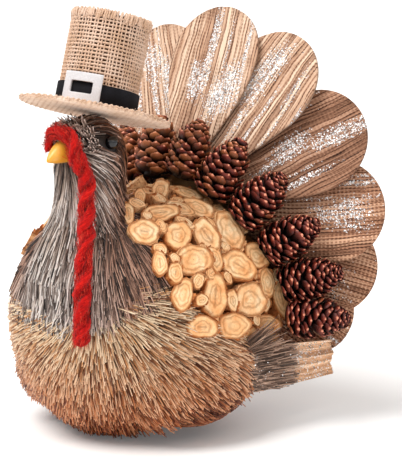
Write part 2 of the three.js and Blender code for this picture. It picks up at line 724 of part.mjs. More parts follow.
function feather(frame) {
  const columns = FEATHER_GROOVES * 2;
  const rings = featherOutline(frame).map(({ distance, half }) => {
    const ring = [];
    const point = (share, depth) =>
      frame.origin.clone()
        .addScaledVector(frame.along, distance)
        .addScaledVector(frame.across, half * share)
        .addScaledVector(frame.front, depth);
    for (let j = 0; j <= columns; j += 1) {
      const groove = j % 2 === 1 ? FEATHER_GROOVE_DEPTH : 0;
      ring.push(point((2 * j) / columns - 1, FEATHER_THICKNESS / 2 - groove));
    }
    ring.push(point(1, -FEATHER_THICKNESS / 2));
    ring.push(point(-1, -FEATHER_THICKNESS / 2));
    return ring;
  });
  return loft(rings);
}

// Points spread over one face of a feather
function featherFace(frame, depth) {
  const points = [];
  for (let i = 0; i <= 20; i += 1) {
    const distance = FEATHER_ROOT + ((frame.reach - FEATHER_ROOT) * i) / 20;
    const half = featherHalfWidth(distance, frame);
    for (let j = -4; j <= 4; j += 1) {
      points.push(
        frame.origin.clone()
          .addScaledVector(frame.along, distance)
          .addScaledVector(frame.across, (half * j) / 4)
          .addScaledVector(frame.front, depth),
      );
    }
  }
  return points;
}

// Where a cone of the tail's sweep through a point starts on the axis
function coneStart(point) {
  return point.y - Math.tan(TAIL_SWEEP * RADIANS) * Math.hypot(point.x, point.z - TAIL_APEX_HEIGHT);
}

// The beds that the feathers lie between: the body's hollow before them and the disc behind
function bedFront() {
  const faces = featherFrames().flatMap((frame) => featherFace(frame, FEATHER_THICKNESS / 2));
  const within = faces.filter((point) => outsideBody(point, 2 * COAT_THICKNESS) < 0);
  return Math.min(...within.map(coneStart));
}

function bedRear() {
  const faces = featherFrames().flatMap((frame) => featherFace(frame, -FEATHER_THICKNESS / 2));
  const within = faces.filter((p) => Math.hypot(p.x, p.z - TAIL_APEX_HEIGHT) < BACK_DISC_RADIUS + BACK_DISC_MARGIN);
  return Math.max(...within.map(coneStart));
}

// Whether a point lies over a feather's outline, by its place along and across that feather
function overFeather(along, across, outline) {
  return outline.some((end, i) => {
    const start = outline[Math.max(0, i - 1)];
    if (along <= start.distance || along > end.distance) {
      return false;
    }
    const share = (along - start.distance) / (end.distance - start.distance);
    return Math.abs(across) < start.half + (end.half - start.half) * share + CONE_GAP;
  });
}

// The least clear distance from some points to the front of the feathers behind them
function gapToFeathers(points, frames) {
  let least = Infinity;
  frames.forEach((frame) => {
    const outline = featherOutline(frame);
    points.forEach((point) => {
      const from = point.clone().sub(frame.origin);
      if (overFeather(from.dot(frame.along), from.dot(frame.across), outline)) {
        least = Math.min(least, from.dot(frame.front) - FEATHER_THICKNESS / 2);
      }
    });
  });
  return least;
}

function backDisc() {
  const slope = Math.tan(TAIL_SWEEP * RADIANS);
  const start = bedRear() + GLUE_GAP / Math.cos(TAIL_SWEEP * RADIANS);
  const profile = [
    new THREE.Vector2(0, start),
    new THREE.Vector2(BACK_DISC_RADIUS, start + BACK_DISC_RADIUS * slope),
    new THREE.Vector2(BACK_DISC_RADIUS, start + BACK_DISC_RADIUS * slope + BACK_DISC_THICKNESS),
    new THREE.Vector2(0, start + BACK_DISC_THICKNESS),
  ];
  return placed(new THREE.LatheGeometry(profile, BACK_DISC_SIDES), 0, 0, TAIL_APEX_HEIGHT);
}

// Pine cone along +Z from its base: tiers of open scales, each tier turned half a scale from the last
function coneForm() {
  const around = CONE_SCALES * 2;
  const rings = [];
  const ring = (height, valley, peak, shift) => {
    const points = [];
    for (let j = 0; j < around; j += 1) {
      const radius = (j + shift) % 2 === 0 ? peak : valley;
      const turn = ((j + 0.5) / around) * 2 * Math.PI;
      points.push(new THREE.Vector3(radius * Math.cos(turn), radius * Math.sin(turn), height));
    }
    rings.push(points);
  };
  const girth = (share) => CONE_RADIUS * Math.sin(Math.PI * (0.16 + 0.8 * share) ** 0.8);
  for (let tier = 0; tier < CONE_TIERS; tier += 1) {
    const low = tier / CONE_TIERS;
    const high = (tier + 0.62) / CONE_TIERS;
    const wide = girth((tier + 0.6) / CONE_TIERS);
    ring(CONE_LENGTH * low, wide * CONE_FOOT_SHARE, wide * CONE_FOOT_SHARE, tier % 2);
    ring(CONE_LENGTH * high, wide * CONE_VALLEY_SHARE, wide, tier % 2);
  }
  const tip = girth(0.97) * 0.3;
  ring(CONE_LENGTH, tip, tip, 0);
  return loft(rings);
}

// The body's radius in the plane across it, at a turn from straight up
function backRadius(turn) {
  return 1 / Math.hypot(Math.sin(turn) / BODY_HALF_WIDTH, Math.cos(turn) / BODY_HALF_HEIGHT);
}

// Points spread over the faces of a geometry
function surfacePoints(geometry) {
  const position = geometry.getAttribute('position');
  const corners = geometry.index.array;
  const points = [];
  const steps = CONE_FACE_STEPS;
  for (let i = 0; i < corners.length; i += 3) {
    const [a, b, c] = [0, 1, 2].map((j) => new THREE.Vector3().fromBufferAttribute(position, corners[i + j]));
    for (let u = 0; u <= steps; u += 1) {
      for (let v = 0; v <= steps - u; v += 1) {
        const point = a.clone().multiplyScalar((steps - u - v) / steps);
        points.push(point.addScaledVector(b, u / steps).addScaledVector(c, v / steps));
      }
    }
  }
  return points;
}

function pineCones(frames) {
  const pattern = coneForm();
  const slope = Math.tan(TAIL_SWEEP * RADIANS);
  const meshes = [];
  for (let i = 0; i < CONE_COUNT; i += 1) {
    const turn = (CONE_FIRST_TURN + i * CONE_STEP) * RADIANS;
    const near = backRadius(turn) + SLICE_THICKNESS + CONE_SEAT;
    const out = new THREE.Vector3(Math.sin(turn), 0, Math.cos(turn));
    const onCone = (distance) => {
      const point = new THREE.Vector3(0, 0, BODY_AXIS_HEIGHT).addScaledVector(out, distance);
      point.y = TAIL_APEX_Y + slope * Math.hypot(point.x, point.z - TAIL_APEX_HEIGHT) - CONE_RADIUS;
      return point;
    };
    const base = onCone(near);
    const way = onCone(near + CONE_LENGTH).sub(base).normalize();
    const cone = pattern.clone().rotateZ(i * STRAND_ROLL_STEP);
    cone.applyQuaternion(new THREE.Quaternion().setFromUnitVectors(UP, way));
    cone.translate(base.x, base.y, base.z);
    const skin = surfacePoints(cone);
    let move = 0;
    for (let pass = 0; pass < CONE_SEAT_PASSES; pass += 1) {
      const spare = gapToFeathers(skin, frames) - CONE_GAP;
      const shift = pass < CONE_SEAT_PASSES / 2 ? spare : Math.min(spare, 0);
      move += shift;
      skin.forEach((point) => {
        point.y += shift;
      });
    }
    cone.translate(0, move, 0);
    meshes.push(named(`pine_cone_${i + 1}`, cone, CONE_BROWN));
  }
  return meshes;
}

// Twig slices: oval prisms standing on the back, those of one row touching each other
function slice(centre, normal, across, halfLength, halfWidth, thickness) {
  const outline = new THREE.Shape();
  for (let i = 0; i < SLICE_SIDES; i += 1) {
    const turn = (i / SLICE_SIDES) * 2 * Math.PI;
    const x = halfLength * Math.cos(turn);
    const y = halfWidth * Math.sin(turn);
    if (i === 0) {
      outline.moveTo(x, y);
    } else {
      outline.lineTo(x, y);
    }
  }
  outline.closePath();
  const depth = thickness - GLUE_GAP;
  const block = new THREE.ExtrudeGeometry(outline, { depth, bevelEnabled: false, steps: 1 });
  block.translate(0, 0, GLUE_GAP);
  const along = new THREE.Vector3().crossVectors(normal, across).normalize();
  const wide = new THREE.Vector3().crossVectors(along, normal);
  block.applyMatrix4(new THREE.Matrix4().makeBasis(wide, along, normal).setPosition(centre));
  return solid(block);
}

function sliceRow(y, row) {
  const bed = bedFront();
  const sides = { right: [], left: [] };
  const section = bodySection(y, 0);
  const girth = Math.PI * (section.width + section.height);
  const count = Math.floor(girth / (2 * SLICE_HALF_LENGTH));
  const pitch = (2 * Math.PI) / count;
  const reach = Math.ceil(count / 2);
  for (let i = -reach; i <= reach; i += 1) {
    const turn = (i + (row % 2) / 2 + 0.25) * pitch;
    const height = section.middle + section.height * Math.cos(turn);
    const centre = new THREE.Vector3(section.width * Math.sin(turn), y, height);
    const fromApex = Math.hypot(centre.x, centre.z - TAIL_APEX_HEIGHT);
    const tail = bed + fromApex * Math.tan(TAIL_SWEEP * RADIANS);
    const fromNeck = Math.hypot(centre.x, y - NECK_AXIS_Y) - neckRadius(centre.z);
    const fits =
      Math.abs(turn) < 0.8 * Math.PI &&
      centre.z > flankEdge(y) + SLICE_TUCK &&
      outsideCollar(centre) > SLICE_TUCK &&
      fromNeck > SLICE_HALF_WIDTH + NECK_ROOM &&
      y < tail - SLICE_TUCK;
    if (fits) {
      const normal = bodyNormal(centre, 0);
      const across = new THREE.Vector3(section.width * Math.cos(turn), 0, -section.height * Math.sin(turn));
      const halfWidth = SLICE_HALF_WIDTH * (1 + SLICE_SIZE_SPREAD * wave(i * 3 + row));
      const thickness = SLICE_THICKNESS + SLICE_HEIGHT_SPREAD * (wave(i + row * 5) - 1);
      const shape = (gap) =>
        slice(centre, normal, across, SLICE_HALF_LENGTH * SLICE_LAP + gap, halfWidth + gap, thickness + gap);
      sides[turn < 0 ? 'right' : 'left'].push(shape);
    }
  }
  return sides;
}

function sliceRows() {
  const neck = neckForm(NECK_ROOM);
  const collar = collarEgg(COAT_GAP);
  const coat = besideFlankEdge(COAT_GAP - BEYOND / 2);
  const hollow = tailHollow(COAT_GAP);
  const meshes = [];
  for (let row = 0; row < SLICE_ROWS; row += 1) {
    const y = SLICE_FIRST_ROW_Y + row * SLICE_ROW_STEP;
    const { right, left } = sliceRow(y, row);
    const trimmed = (chain) =>
      wasm.Manifold.union(chain).subtract(neck).subtract(collar).subtract(coat).subtract(hollow);
    const over = wasm.Manifold.union(right.map((shape) => shape(COAT_GAP)));
    const leftBody = trimmed(left.map((shape) => shape(0))).subtract(over);
    meshes.push(named(`slice_row_${row + 1}_right`, geometryOf(trimmed(right.map((shape) => shape(0)))), TWIG));
    meshes.push(named(`slice_row_${row + 1}_left`, geometryOf(leftBody), TWIG));
  }
  return meshes;
}

// Wings: a pad on the flank with long straws, and a pleated veneer tip behind it
function wingFrame(side) {
  const { width, middle, height } = bodySection(WING_ROOT_Y, COAT_THICKNESS);
  const wall = width * Math.sqrt(1 - ((WING_HEIGHT - middle) / height) ** 2);
  const start = new THREE.Vector3(side * (wall + WING_STAND), WING_ROOT_Y, WING_HEIGHT);
  const along = new THREE.Vector3(side * Math.sin(WING_FLARE * RADIANS), Math.cos(WING_FLARE * RADIANS), 0);
  const out = new THREE.Vector3().crossVectors(along, UP).multiplyScalar(side).normalize();
  const up = new THREE.Vector3().crossVectors(out, along).multiplyScalar(side);
  return { start, along, out, up, side };
}

function wingPoint(frame, distance, rise, stand) {
  return frame.start.clone()
    .addScaledVector(frame.along, distance)
    .addScaledVector(frame.up, rise)
    .addScaledVector(frame.out, stand);
}

function wingStraw(side) {
  const frame = wingFrame(side);
  const pad = new THREE.SphereGeometry(1, 12, 8);
  pad.scale(WING_PAD_THICKNESS, WING_PAD_LENGTH / 2, WING_DEPTH / 2);
  const turn = new THREE.Matrix4().makeBasis(frame.out.clone().multiplyScalar(side), frame.along, frame.up);
  pad.applyMatrix4(turn.setPosition(wingPoint(frame, WING_PAD_LENGTH / 2, 0, WING_STAND)));
  const backing = solid(pad).subtract(bodyForm(COAT_THICKNESS + COAT_GAP));
  const straws = [];
  WING_STRAND_ROWS.forEach(({ count, along, spread, lean }, row) => {
    for (let i = 0; i < count; i += 1) {
      const share = ((i + 0.5) / count) * 2 - 1;
      const rise = share * spread * WING_DEPTH;
      const bulge = 1 - (2 * share * spread) ** 2 - (2 * along - 1) ** 2;
      const stand = WING_STAND + WING_PAD_THICKNESS * Math.sqrt(bulge);
      const root = wingPoint(frame, along * WING_PAD_LENGTH, rise, stand);
      const way = frame.along.clone()
        .addScaledVector(frame.up, share * Math.sin(WING_STRAND_FAN * RADIANS))
        .addScaledVector(frame.out, lean)
        .normalize();
      const length = WING_STRAND_LENGTH * (1 + STRAND_LENGTH_SPREAD * wave(i + 7.5 * row));
      straws.push(strand(root, way, length, i * STRAND_ROLL_STEP));
    }
  });
  return wasm.Manifold.union([backing, ...straws]).subtract(bodyForm(COAT_THICKNESS + COAT_GAP));
}

function wingTip(side) {
  const frame = wingFrame(side);
  const columns = VENEER_PLEATS * 2;
  const begin = WING_PAD_LENGTH + COAT_GAP;
  const rings = [0, 0.35, 0.7, 1].map((share) => {
    const depth = WING_DEPTH + (WING_END_DEPTH - WING_DEPTH) * share;
    const face = (stand, back) => {
      const points = [];
      for (let j = 0; j <= columns; j += 1) {
        const place = j / columns;
        const phase = place * VENEER_PLEATS * 2 * Math.PI;
        const scallop = share === 1 ? VENEER_SCALLOP * Math.cos(phase) : 0;
        const distance = begin + (WING_LENGTH - begin) * share + scallop;
        const pleat = VENEER_PLEAT_DEPTH * Math.cos(phase);
        points.push(wingPoint(frame, distance, (place - 0.5) * depth, stand + pleat));
      }
      return back ? points.reverse() : points;
    };
    return [...face(VENEER_THICKNESS, false), ...face(0, true)];
  });
  return loft(side < 0 ? rings : rings.map((ring) => ring.slice().reverse()));
}

// Beak: a short drooping cone, its root hollowed to the head
const BEAK_START_Y = HEAD_CENTRE.y - HEAD_RADIUS - COAT_THICKNESS + BEAK_ROOT;
const BEAK_TIP_SHARE = 0.93;
const BEAK_SWELL = 0.8;
const beakRadius = (share) => BEAK_RADIUS * (1 - share * share * BEAK_TIP_SHARE) ** BEAK_SWELL;

function beak() {
  const rings = [];
  for (let i = 0; i <= BEAK_STEPS; i += 1) {
    const share = i / BEAK_STEPS;
    const radius = beakRadius(share);
    const ring = [];
    for (let j = 0; j < BEAK_SIDES; j += 1) {
      const turn = (j / BEAK_SIDES) * 2 * Math.PI;
      const height = BEAK_HEIGHT - BEAK_DROOP * share * share + radius * Math.cos(turn);
      const y = BEAK_START_Y - (BEAK_LENGTH + BEAK_ROOT) * share;
      ring.push(new THREE.Vector3(-radius * Math.sin(turn), y, height));
    }
    rings.push(ring);
  }
  return geometryOf(solid(loft(rings)).subtract(neckForm(COAT_THICKNESS + GLUE_GAP)));
}

// How far out from the neck's axis the coat reaches, at a height and a turn
function coatReach(height, turn) {
  const out = new THREE.Vector3(Math.sin(turn), -Math.cos(turn), 0);
  const axis = new THREE.Vector3(0, NECK_AXIS_Y, height);
  let reach = neckRadius(height);
  for (let step = 0; step < 120; step += 1) {
    if (outsideBody(axis.clone().addScaledVector(out, reach), 0) < 0) {
      reach += 0.5;
    }
  }
  return reach + COAT_THICKNESS;
}

// How far the wattle's middle keeps from the beak's axis where it loops over it
function wattleLoopRadius(beakY) {
  const reaches = [];
  for (let i = -WATTLE_FALL_POINTS; i <= WATTLE_FALL_POINTS; i += 1) {
    const aside = (WATTLE_RADIUS * i) / WATTLE_FALL_POINTS;
    const share = (BEAK_START_Y - beakY - aside) / (BEAK_LENGTH + BEAK_ROOT);
    const rise = BEAK_DROOP * share * share;
    reaches.push(beakRadius(THREE.MathUtils.clamp(share, 0, 1)) - rise + Math.sqrt(WATTLE_RADIUS ** 2 - aside ** 2));
  }
  return Math.max(...reaches) + BEAK_DROOP / 2 + COAT_GAP;
}

function wattle() {
  const stand = WATTLE_RADIUS + COAT_GAP;
  const beakY = HEAD_CENTRE.y - HEAD_RADIUS - COAT_THICKNESS - stand;
  const beside = wattleLoopRadius(beakY);
  const route = WATTLE_LOOP_TURNS.map((turn) => {
    const x = beside * Math.sin(turn * RADIANS);
    return new THREE.Vector3(x, beakY, BEAK_HEIGHT + beside * Math.cos(turn * RADIANS));
  });
  const from = BEAK_HEIGHT - beside;
  for (let i = 0; i <= WATTLE_FALL_POINTS; i += 1) {
    const height = from + ((WATTLE_END_HEIGHT - from) * i) / WATTLE_FALL_POINTS;
    const turn = wattleTurn(height);
    const nearby = [height - WATTLE_RADIUS, height, height + WATTLE_RADIUS];
    const settled = Math.max(...nearby.map((level) => coatReach(level, turn))) + stand;
    route.push(new THREE.Vector3(settled * Math.sin(turn), NECK_AXIS_Y - settled * Math.cos(turn), height));
  }
  const section = new THREE.Shape();
  section.absarc(0, 0, WATTLE_RADIUS, 0, 2 * Math.PI);
  return new THREE.ExtrudeGeometry(section, {
    extrudePath: new THREE.CatmullRomCurve3(route, false, 'centripetal'),
    steps: WATTLE_STEPS,
    curveSegments: 4,
    bevelEnabled: false,
  });
}

// Hat, made upright on its own axis with z = 0 at the brim's underside
function turnedRing(inner, outer, bottom, top) {
  const profile = [
    new THREE.Vector2(inner, bottom),
    new THREE.Vector2(outer, bottom),
    new THREE.Vector2(outer, top),
    new THREE.Vector2(inner, top),
    new THREE.Vector2(inner, bottom),
  ];
  return new THREE.LatheGeometry(profile, 26).rotateX(Math.PI / 2);
}

function hatBrim() {
  const edge = BRIM_THICKNESS / 3;
  const profile = [
    new THREE.Vector2(0, 0),
    new THREE.Vector2(BRIM_RADIUS - edge, 0),
    new THREE.Vector2(BRIM_RADIUS, edge),
    new THREE.Vector2(BRIM_RADIUS, BRIM_THICKNESS - edge),
    new THREE.Vector2(BRIM_RADIUS - edge, BRIM_THICKNESS),
    new THREE.Vector2(0, BRIM_THICKNESS),
  ];
  return new THREE.LatheGeometry(profile, 32).rotateX(Math.PI / 2);
}

function hatBuckle() {
  const inner = CROWN_RADIUS + BAND_THICKNESS + 2 * GLUE_GAP;
  const outer = inner + BUCKLE_THICKNESS;
  const width = BUCKLE_WIDTH / outer;
  const bottom = BRIM_THICKNESS + GLUE_GAP;
  const plate = (low, high, half, from, to) => {
    const sector = new THREE.Shape();
    sector.absarc(0, 0, to, -half, half, false);
    sector.absarc(0, 0, from, half, -half, true);
    const depth = high - low;
    const slab = new THREE.ExtrudeGeometry(sector, { depth, bevelEnabled: false, curveSegments: 8 });
    return solid(slab.translate(0, 0, low));
  };
  const frame = BUCKLE_FRAME;
  const half = width / 2;
  const top = bottom + BUCKLE_HEIGHT;
  const window = plate(bottom + frame, top - frame, half - frame / outer, inner - frame, outer + frame);
  const body = plate(bottom, top, half, inner, outer).subtract(window);
  return geometryOf(body).rotateZ((BUCKLE_TURN - 90) * RADIANS);
}

function named(name, geometry, material) {
  const mesh = new THREE.Mesh(geometry, material);
  mesh.name = name;
  return mesh;
}

// Assembly, with the tail tips at y = 0 while it is put together
const turkey = new THREE.Group();
const bird = new THREE.Group();
turkey.add(bird);

bird.add(named('body_core', geometryOf(bodyCore()), FOAM));
bird.add(named('base_pad', basePad(), FELT_PAD));
bird.add(named('neck_core', geometryOf(neckCore()), FOAM));
bird.add(named('neck_dowel', dowelRod(0), DOWEL_WOOD));
bird.add(named('breast_coat', geometryOf(breastCoat()), TAN_STRAW));
bird.add(named('neck_coat', geometryOf(neckCoat()), GREY_STRAW));
bird.add(named('beak', beak(), HORN));
bird.add(named('wattle', wattle(), RED_WOOL));
[['left', 1], ['right', -1]].forEach(([name, side]) => {
  bird.add(named(`eye_${name}`, eyeBall(side, 0), BEAD));
  bird.add(named(`wing_straw_${name}`, geometryOf(wingStraw(side)), GREY_STRAW));
  bird.add(named(`wing_tip_${name}`, wingTip(side), VENEER));
});

const frames = featherFrames();
frames.forEach((frame, i) => bird.add(named(`tail_feather_${i + 1}`, feather(frame), BARK)));
bird.add(named('tail_back_disc', backDisc(), KRAFT));
bird.add(...pineCones(frames));
bird.add(...sliceRows());

const hat = new THREE.Group();
hat.position.copy(HAT_ORIGIN);
hat.rotation.x = -HAT_TILT * RADIANS;
bird.add(hat);
const crownBottom = BRIM_THICKNESS + GLUE_GAP;
const crownTop = crownBottom + CROWN_HEIGHT;
const topDiscTop = crownTop - CROWN_TOP_RECESS;
const topDisc = new THREE.CylinderGeometry(
  CROWN_RADIUS - CROWN_WALL - GLUE_GAP,
  CROWN_RADIUS - CROWN_WALL - GLUE_GAP,
  CROWN_TOP_THICKNESS,
  32,
);
topDisc.rotateX(Math.PI / 2).translate(0, 0, topDiscTop - CROWN_TOP_THICKNESS / 2);
const bandInner = CROWN_RADIUS + GLUE_GAP;
const bandBottom = crownBottom + BAND_RAISE;
const band = turnedRing(bandInner, bandInner + BAND_THICKNESS, bandBottom, bandBottom + BAND_HEIGHT);
hat.add(named('hat_brim', hatBrim(), BURLAP));
const crown = turnedRing(CROWN_RADIUS - CROWN_WALL, CROWN_RADIUS, crownBottom, crownTop);
hat.add(named('hat_crown', crown, BURLAP));
hat.add(named('hat_top', topDisc, BURLAP));
hat.add(named('hat_band', band, RIBBON));
hat.add(named('hat_buckle', hatBuckle(), WHITE_FELT));

// The origin is under the middle of the whole figure
turkey.updateMatrixWorld(true);
const bounds = new THREE.Box3().setFromObject(turkey, true);
bird.position.set(-(bounds.min.x + bounds.max.x) / 2, -(bounds.min.y + bounds.max.y) / 2, -bounds.min.z);

export default turkey;
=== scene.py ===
"""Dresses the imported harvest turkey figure: straw coats, twig slices, cones, bark fan and burlap hat."""

import logging
import math
from collections.abc import Callable
from dataclasses import dataclass, field
from enum import Enum, IntEnum
from typing import NamedTuple

import bpy
import numpy as np
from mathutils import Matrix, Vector


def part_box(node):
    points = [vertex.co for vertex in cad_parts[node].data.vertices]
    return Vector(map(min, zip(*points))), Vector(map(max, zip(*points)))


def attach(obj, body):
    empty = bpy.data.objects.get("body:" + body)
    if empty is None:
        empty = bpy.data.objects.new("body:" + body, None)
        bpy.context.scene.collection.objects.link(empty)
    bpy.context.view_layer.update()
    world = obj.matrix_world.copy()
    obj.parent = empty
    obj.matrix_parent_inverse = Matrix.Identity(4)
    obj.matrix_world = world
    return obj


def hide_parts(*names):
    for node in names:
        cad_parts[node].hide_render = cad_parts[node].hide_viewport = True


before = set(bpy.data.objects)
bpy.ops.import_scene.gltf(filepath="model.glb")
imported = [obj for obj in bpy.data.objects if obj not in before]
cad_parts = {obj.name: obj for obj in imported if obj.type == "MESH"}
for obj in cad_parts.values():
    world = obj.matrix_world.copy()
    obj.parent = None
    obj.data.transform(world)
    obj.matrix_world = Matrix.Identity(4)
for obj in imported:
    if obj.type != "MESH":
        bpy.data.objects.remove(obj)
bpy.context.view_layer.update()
LOG = logging.getLogger("turkey")
MM = 0.001
SEED = 1127
ANY_ROLL = (0.0, 6.28)
ANY_PHASE = (0.0, 6.0)
FULL_TURN = 2 * math.pi
GOLDEN_TURN = math.pi * (3 - math.sqrt(5))
NECK_AXIS_Y = -157.0
DOWEL_LOW, DOWEL_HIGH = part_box("neck_dowel")
SHIFT_Y = (DOWEL_LOW[1] + DOWEL_HIGH[1]) / 2 / MM - NECK_AXIS_Y

Color = tuple[float, float, float, float]
Socket = bpy.types.NodeSocket
Material = bpy.types.Material
Array = np.ndarray
Values = Array | float
Rng = np.random.Generator
Place = tuple[float, float, float]
Span = tuple[float, float]
WHITE: Color = (1.0, 1.0, 1.0, 1.0)


class Side(IntEnum):
    """The bird's own right and left, as the sign of x."""

    RIGHT = -1
    MIDDLE = 0
    LEFT = 1

    @property
    def label(self) -> str:
        """Gives the side's name as it stands in the names of pieces."""
        return self.name.lower()


def seeded(step: int) -> Rng:
    """Gives the random source of one piece or group of pieces."""
    return np.random.default_rng(SEED + step)


def rgb(code: str) -> Color:
    """Turns a screen colour such as "c79a66" into the linear colour that a shader takes.

    Args:
        code: Six hexadecimal digits.

    Returns:
        The linear colour with full alpha.
    """
    parts = [int(code[i:i + 2], 16) / 255 for i in (0, 2, 4)]
    linear = [c / 12.92 if c <= 0.04045 else ((c + 0.055) / 1.055) ** 2.4 for c in parts]
    return (linear[0], linear[1], linear[2], 1.0)


def unit(vectors: Array) -> Array:
    """Scales vectors along the last axis to length one."""
    return vectors / np.maximum(np.linalg.norm(vectors, axis=-1, keepdims=True), 1e-9)


def turn_about(vectors: Array, axis: Array, angle: Values) -> Array:
    """Turns vectors about unit axes by angles, by Rodrigues' formula.

    Args:
        vectors: Vectors to turn, along the last axis.
        axis: Unit axes that broadcast with the vectors.
        angle: Radians, one each or one for all.

    Returns:
        The turned vectors.
    """
    cos = np.cos(angle)[..., None] if isinstance(angle, Array) else math.cos(angle)
    sin = np.sin(angle)[..., None] if isinstance(angle, Array) else math.sin(angle)
    along = np.sum(vectors * axis, axis=-1, keepdims=True)
    return vectors * cos + np.cross(axis, vectors) * sin + axis * along * (1 - cos)


def circle(count: int) -> Array:
    """Gives evenly spaced turns, once round."""
    return np.arange(count) / count * FULL_TURN


def around(radius: Values, turn: Array, height: Values) -> Array:
    """Places points round an upright axis.

    Args:
        radius: How far out they lie.
        turn: Their turn from straight ahead.
        height: Their height.

    Returns:
        The points.
    """
    return np.stack(np.broadcast_arrays(radius * np.sin(turn), -radius * np.cos(turn), height), axis=-1)


def unit_ball(rows: int, columns: int) -> Array:
    """Places points over a ball of radius one.

    Args:
        rows: Rows of points, from the top down.
        columns: Points in a row.

    Returns:
        The points, row by row.
    """
    rise, turn = np.meshgrid(np.linspace(0.02, math.pi - 0.02, rows), circle(columns), indexing="ij")
    parts = [np.sin(rise) * np.cos(turn), np.sin(rise) * np.sin(turn), np.cos(rise)]
    return np.stack(parts, axis=-1).reshape(-1, 3)


def lengths_along(points: Array) -> Array:
    """Measures how far along a path each of its points lies."""
    return np.concatenate([[0], np.cumsum(np.linalg.norm(np.diff(points, axis=0), axis=1))])


class ShaderGraph:
    """A node material that is put together by short calls."""

    def __init__(self, name: str) -> None:
        """Starts a material that holds one Principled shader.

        Args:
            name: The material's name.
        """
        self.material = bpy.data.materials.new(name)
        self.material.use_nodes = True
        self.tree = self.material.node_tree
        self.shader = self.tree.nodes["Principled BSDF"]

    def put(self, socket: Socket, value: Socket | float | tuple) -> None:
        """Links or sets one input.

        Args:
            socket: The input.
            value: A socket to link, or a value to set.
        """
        if isinstance(value, Socket):
            self.tree.links.new(value, socket)
        else:
            socket.default_value = value

    def node(self, kind: str, **inputs: Socket | float | tuple) -> bpy.types.Node:
        """Adds a node.

        Args:
            kind: The node's type name.
            inputs: Values or sockets for its inputs, by name with underscores for spaces.

        Returns:
            The new node.
        """
        made = self.tree.nodes.new(kind)
        for name, value in inputs.items():
            self.put(made.inputs[name.replace("_", " ")], value)
        return made

    def attribute(self, name: str, output: str = "Fac") -> Socket:
        """Reads a mesh attribute.

        Args:
            name: Its name.
            output: Which of the node's outputs to read.

        Returns:
            The attribute's value.
        """
        made = self.node("ShaderNodeAttribute")
        made.attribute_name = name
        return made.outputs[output]

    def place(self) -> Socket:
        """Gives the point's place on the piece, in metres."""
        return self.node("ShaderNodeTexCoord").outputs["Object"]

    def stretch(self, vector: Socket, scale: tuple[float, float, float]) -> Socket:
        """Scales a vector by axis."""
        return self.node("ShaderNodeMapping", Vector=vector, Scale=scale).outputs["Vector"]

    def noise(self, vector: Socket, scale: float, detail: float = 2.0, rough: float = 0.5) -> Socket:
        """Gives a soft random value from 0 to 1.

        Args:
            vector: Where to read the noise.
            scale: Lumps per unit of the vector.
            detail: Octaves of finer lumps.
            rough: How strong the finer lumps are.

        Returns:
            The noise value.
        """
        made = self.node("ShaderNodeTexNoise", Vector=vector, Scale=scale, Detail=detail, Roughness=rough)
        return made.outputs["Fac"]

    def ramp(self, factor: Socket, *stops: tuple[float, Color]) -> Socket:
        """Colours a value by stops.

        Args:
            factor: The value to colour.
            stops: Pairs of place and colour, in rising order.

        Returns:
            The colour.
        """
        made = self.node("ShaderNodeValToRGB", Fac=factor)
        elements = made.color_ramp.elements
        while len(elements) < len(stops):
            elements.new(0.5)
        for element, (place, color) in zip(elements, stops):
            element.position = place
            element.color = color
        return made.outputs["Color"]

    def blend(
        self, factor: Socket | float, low: Socket | Color, high: Socket | Color, how: str = "MIX"
    ) -> Socket:
        """Mixes two colours.

        Args:
            factor: How much of the second.
            low: The first colour.
            high: The second colour.
            how: Blender's name for the way to mix.

        Returns:
            The mixed colour.
        """
        made = self.tree.nodes.new("ShaderNodeMix")
        made.data_type = "RGBA"
        made.blend_type = how
        self.put(made.inputs["Factor"], factor)
        self.put(made.inputs[6], low)
        self.put(made.inputs[7], high)
        return made.outputs[2]

    def shaded(self, color: Socket, shade: Socket | Color) -> Socket:
        """Multiplies a colour by a shade."""
        return self.blend(1.0, color, shade, "MULTIPLY")

    def math(self, operation: str, first: Socket | float, second: Socket | float = 0.0) -> Socket:
        """Works out one sum by Blender's name for it.

        Args:
            operation: The sum's name.
            first: The first value.
            second: The second value.

        Returns:
            The result.
        """
        made = self.tree.nodes.new("ShaderNodeMath")
        made.operation = operation
        self.put(made.inputs[0], first)
        self.put(made.inputs[1], second)
        return made.outputs[0]

    def plus(self, first: Socket | float, second: Socket | float) -> Socket:
        """Adds two values."""
        return self.math("ADD", first, second)

    def minus(self, first: Socket | float, second: Socket | float) -> Socket:
        """Takes the second value from the first."""
        return self.math("SUBTRACT", first, second)

    def times(self, first: Socket | float, second: Socket | float) -> Socket:
        """Multiplies two values."""
        return self.math("MULTIPLY", first, second)

    def swing(self, value: Socket, size: float) -> Socket:
        """Turns a value from 0 to 1 into a change of a size either way about none."""
        return self.times(self.minus(value, 0.5), size)

    def band(self, value: Socket, low: float, high: float) -> Socket:
        """Maps a value from low..high to 0..1, clamped."""
        made = self.node("ShaderNodeMapRange", Value=value, From_Min=low, From_Max=high)
        return made.outputs["Result"]

    def bump(self, height: Socket, distance: float, strength: float = 1.0) -> Socket:
        """Gives a normal that follows a height."""
        made = self.node("ShaderNodeBump", Height=height, Distance=distance, Strength=strength)
        return made.outputs["Normal"]

    def close(
        self, color: Socket, roughness: Socket | float, normal: Socket | None = None, **fixed: float
    ) -> Material:
        """Connects the shader.

        Args:
            color: The base colour.
            roughness: The roughness.
            normal: The bumped normal, where there is one.
            fixed: Constant values for other inputs of the shader.

        Returns:
            The finished material.
        """
        self.put(self.shader.inputs["Base Color"], color)
        self.put(self.shader.inputs["Roughness"], roughness)
        if normal is not None:
            self.put(self.shader.inputs["Normal"], normal)
        for name, value in fixed.items():
            self.shader.inputs[name.replace("_", " ")].default_value = value
        return self.material


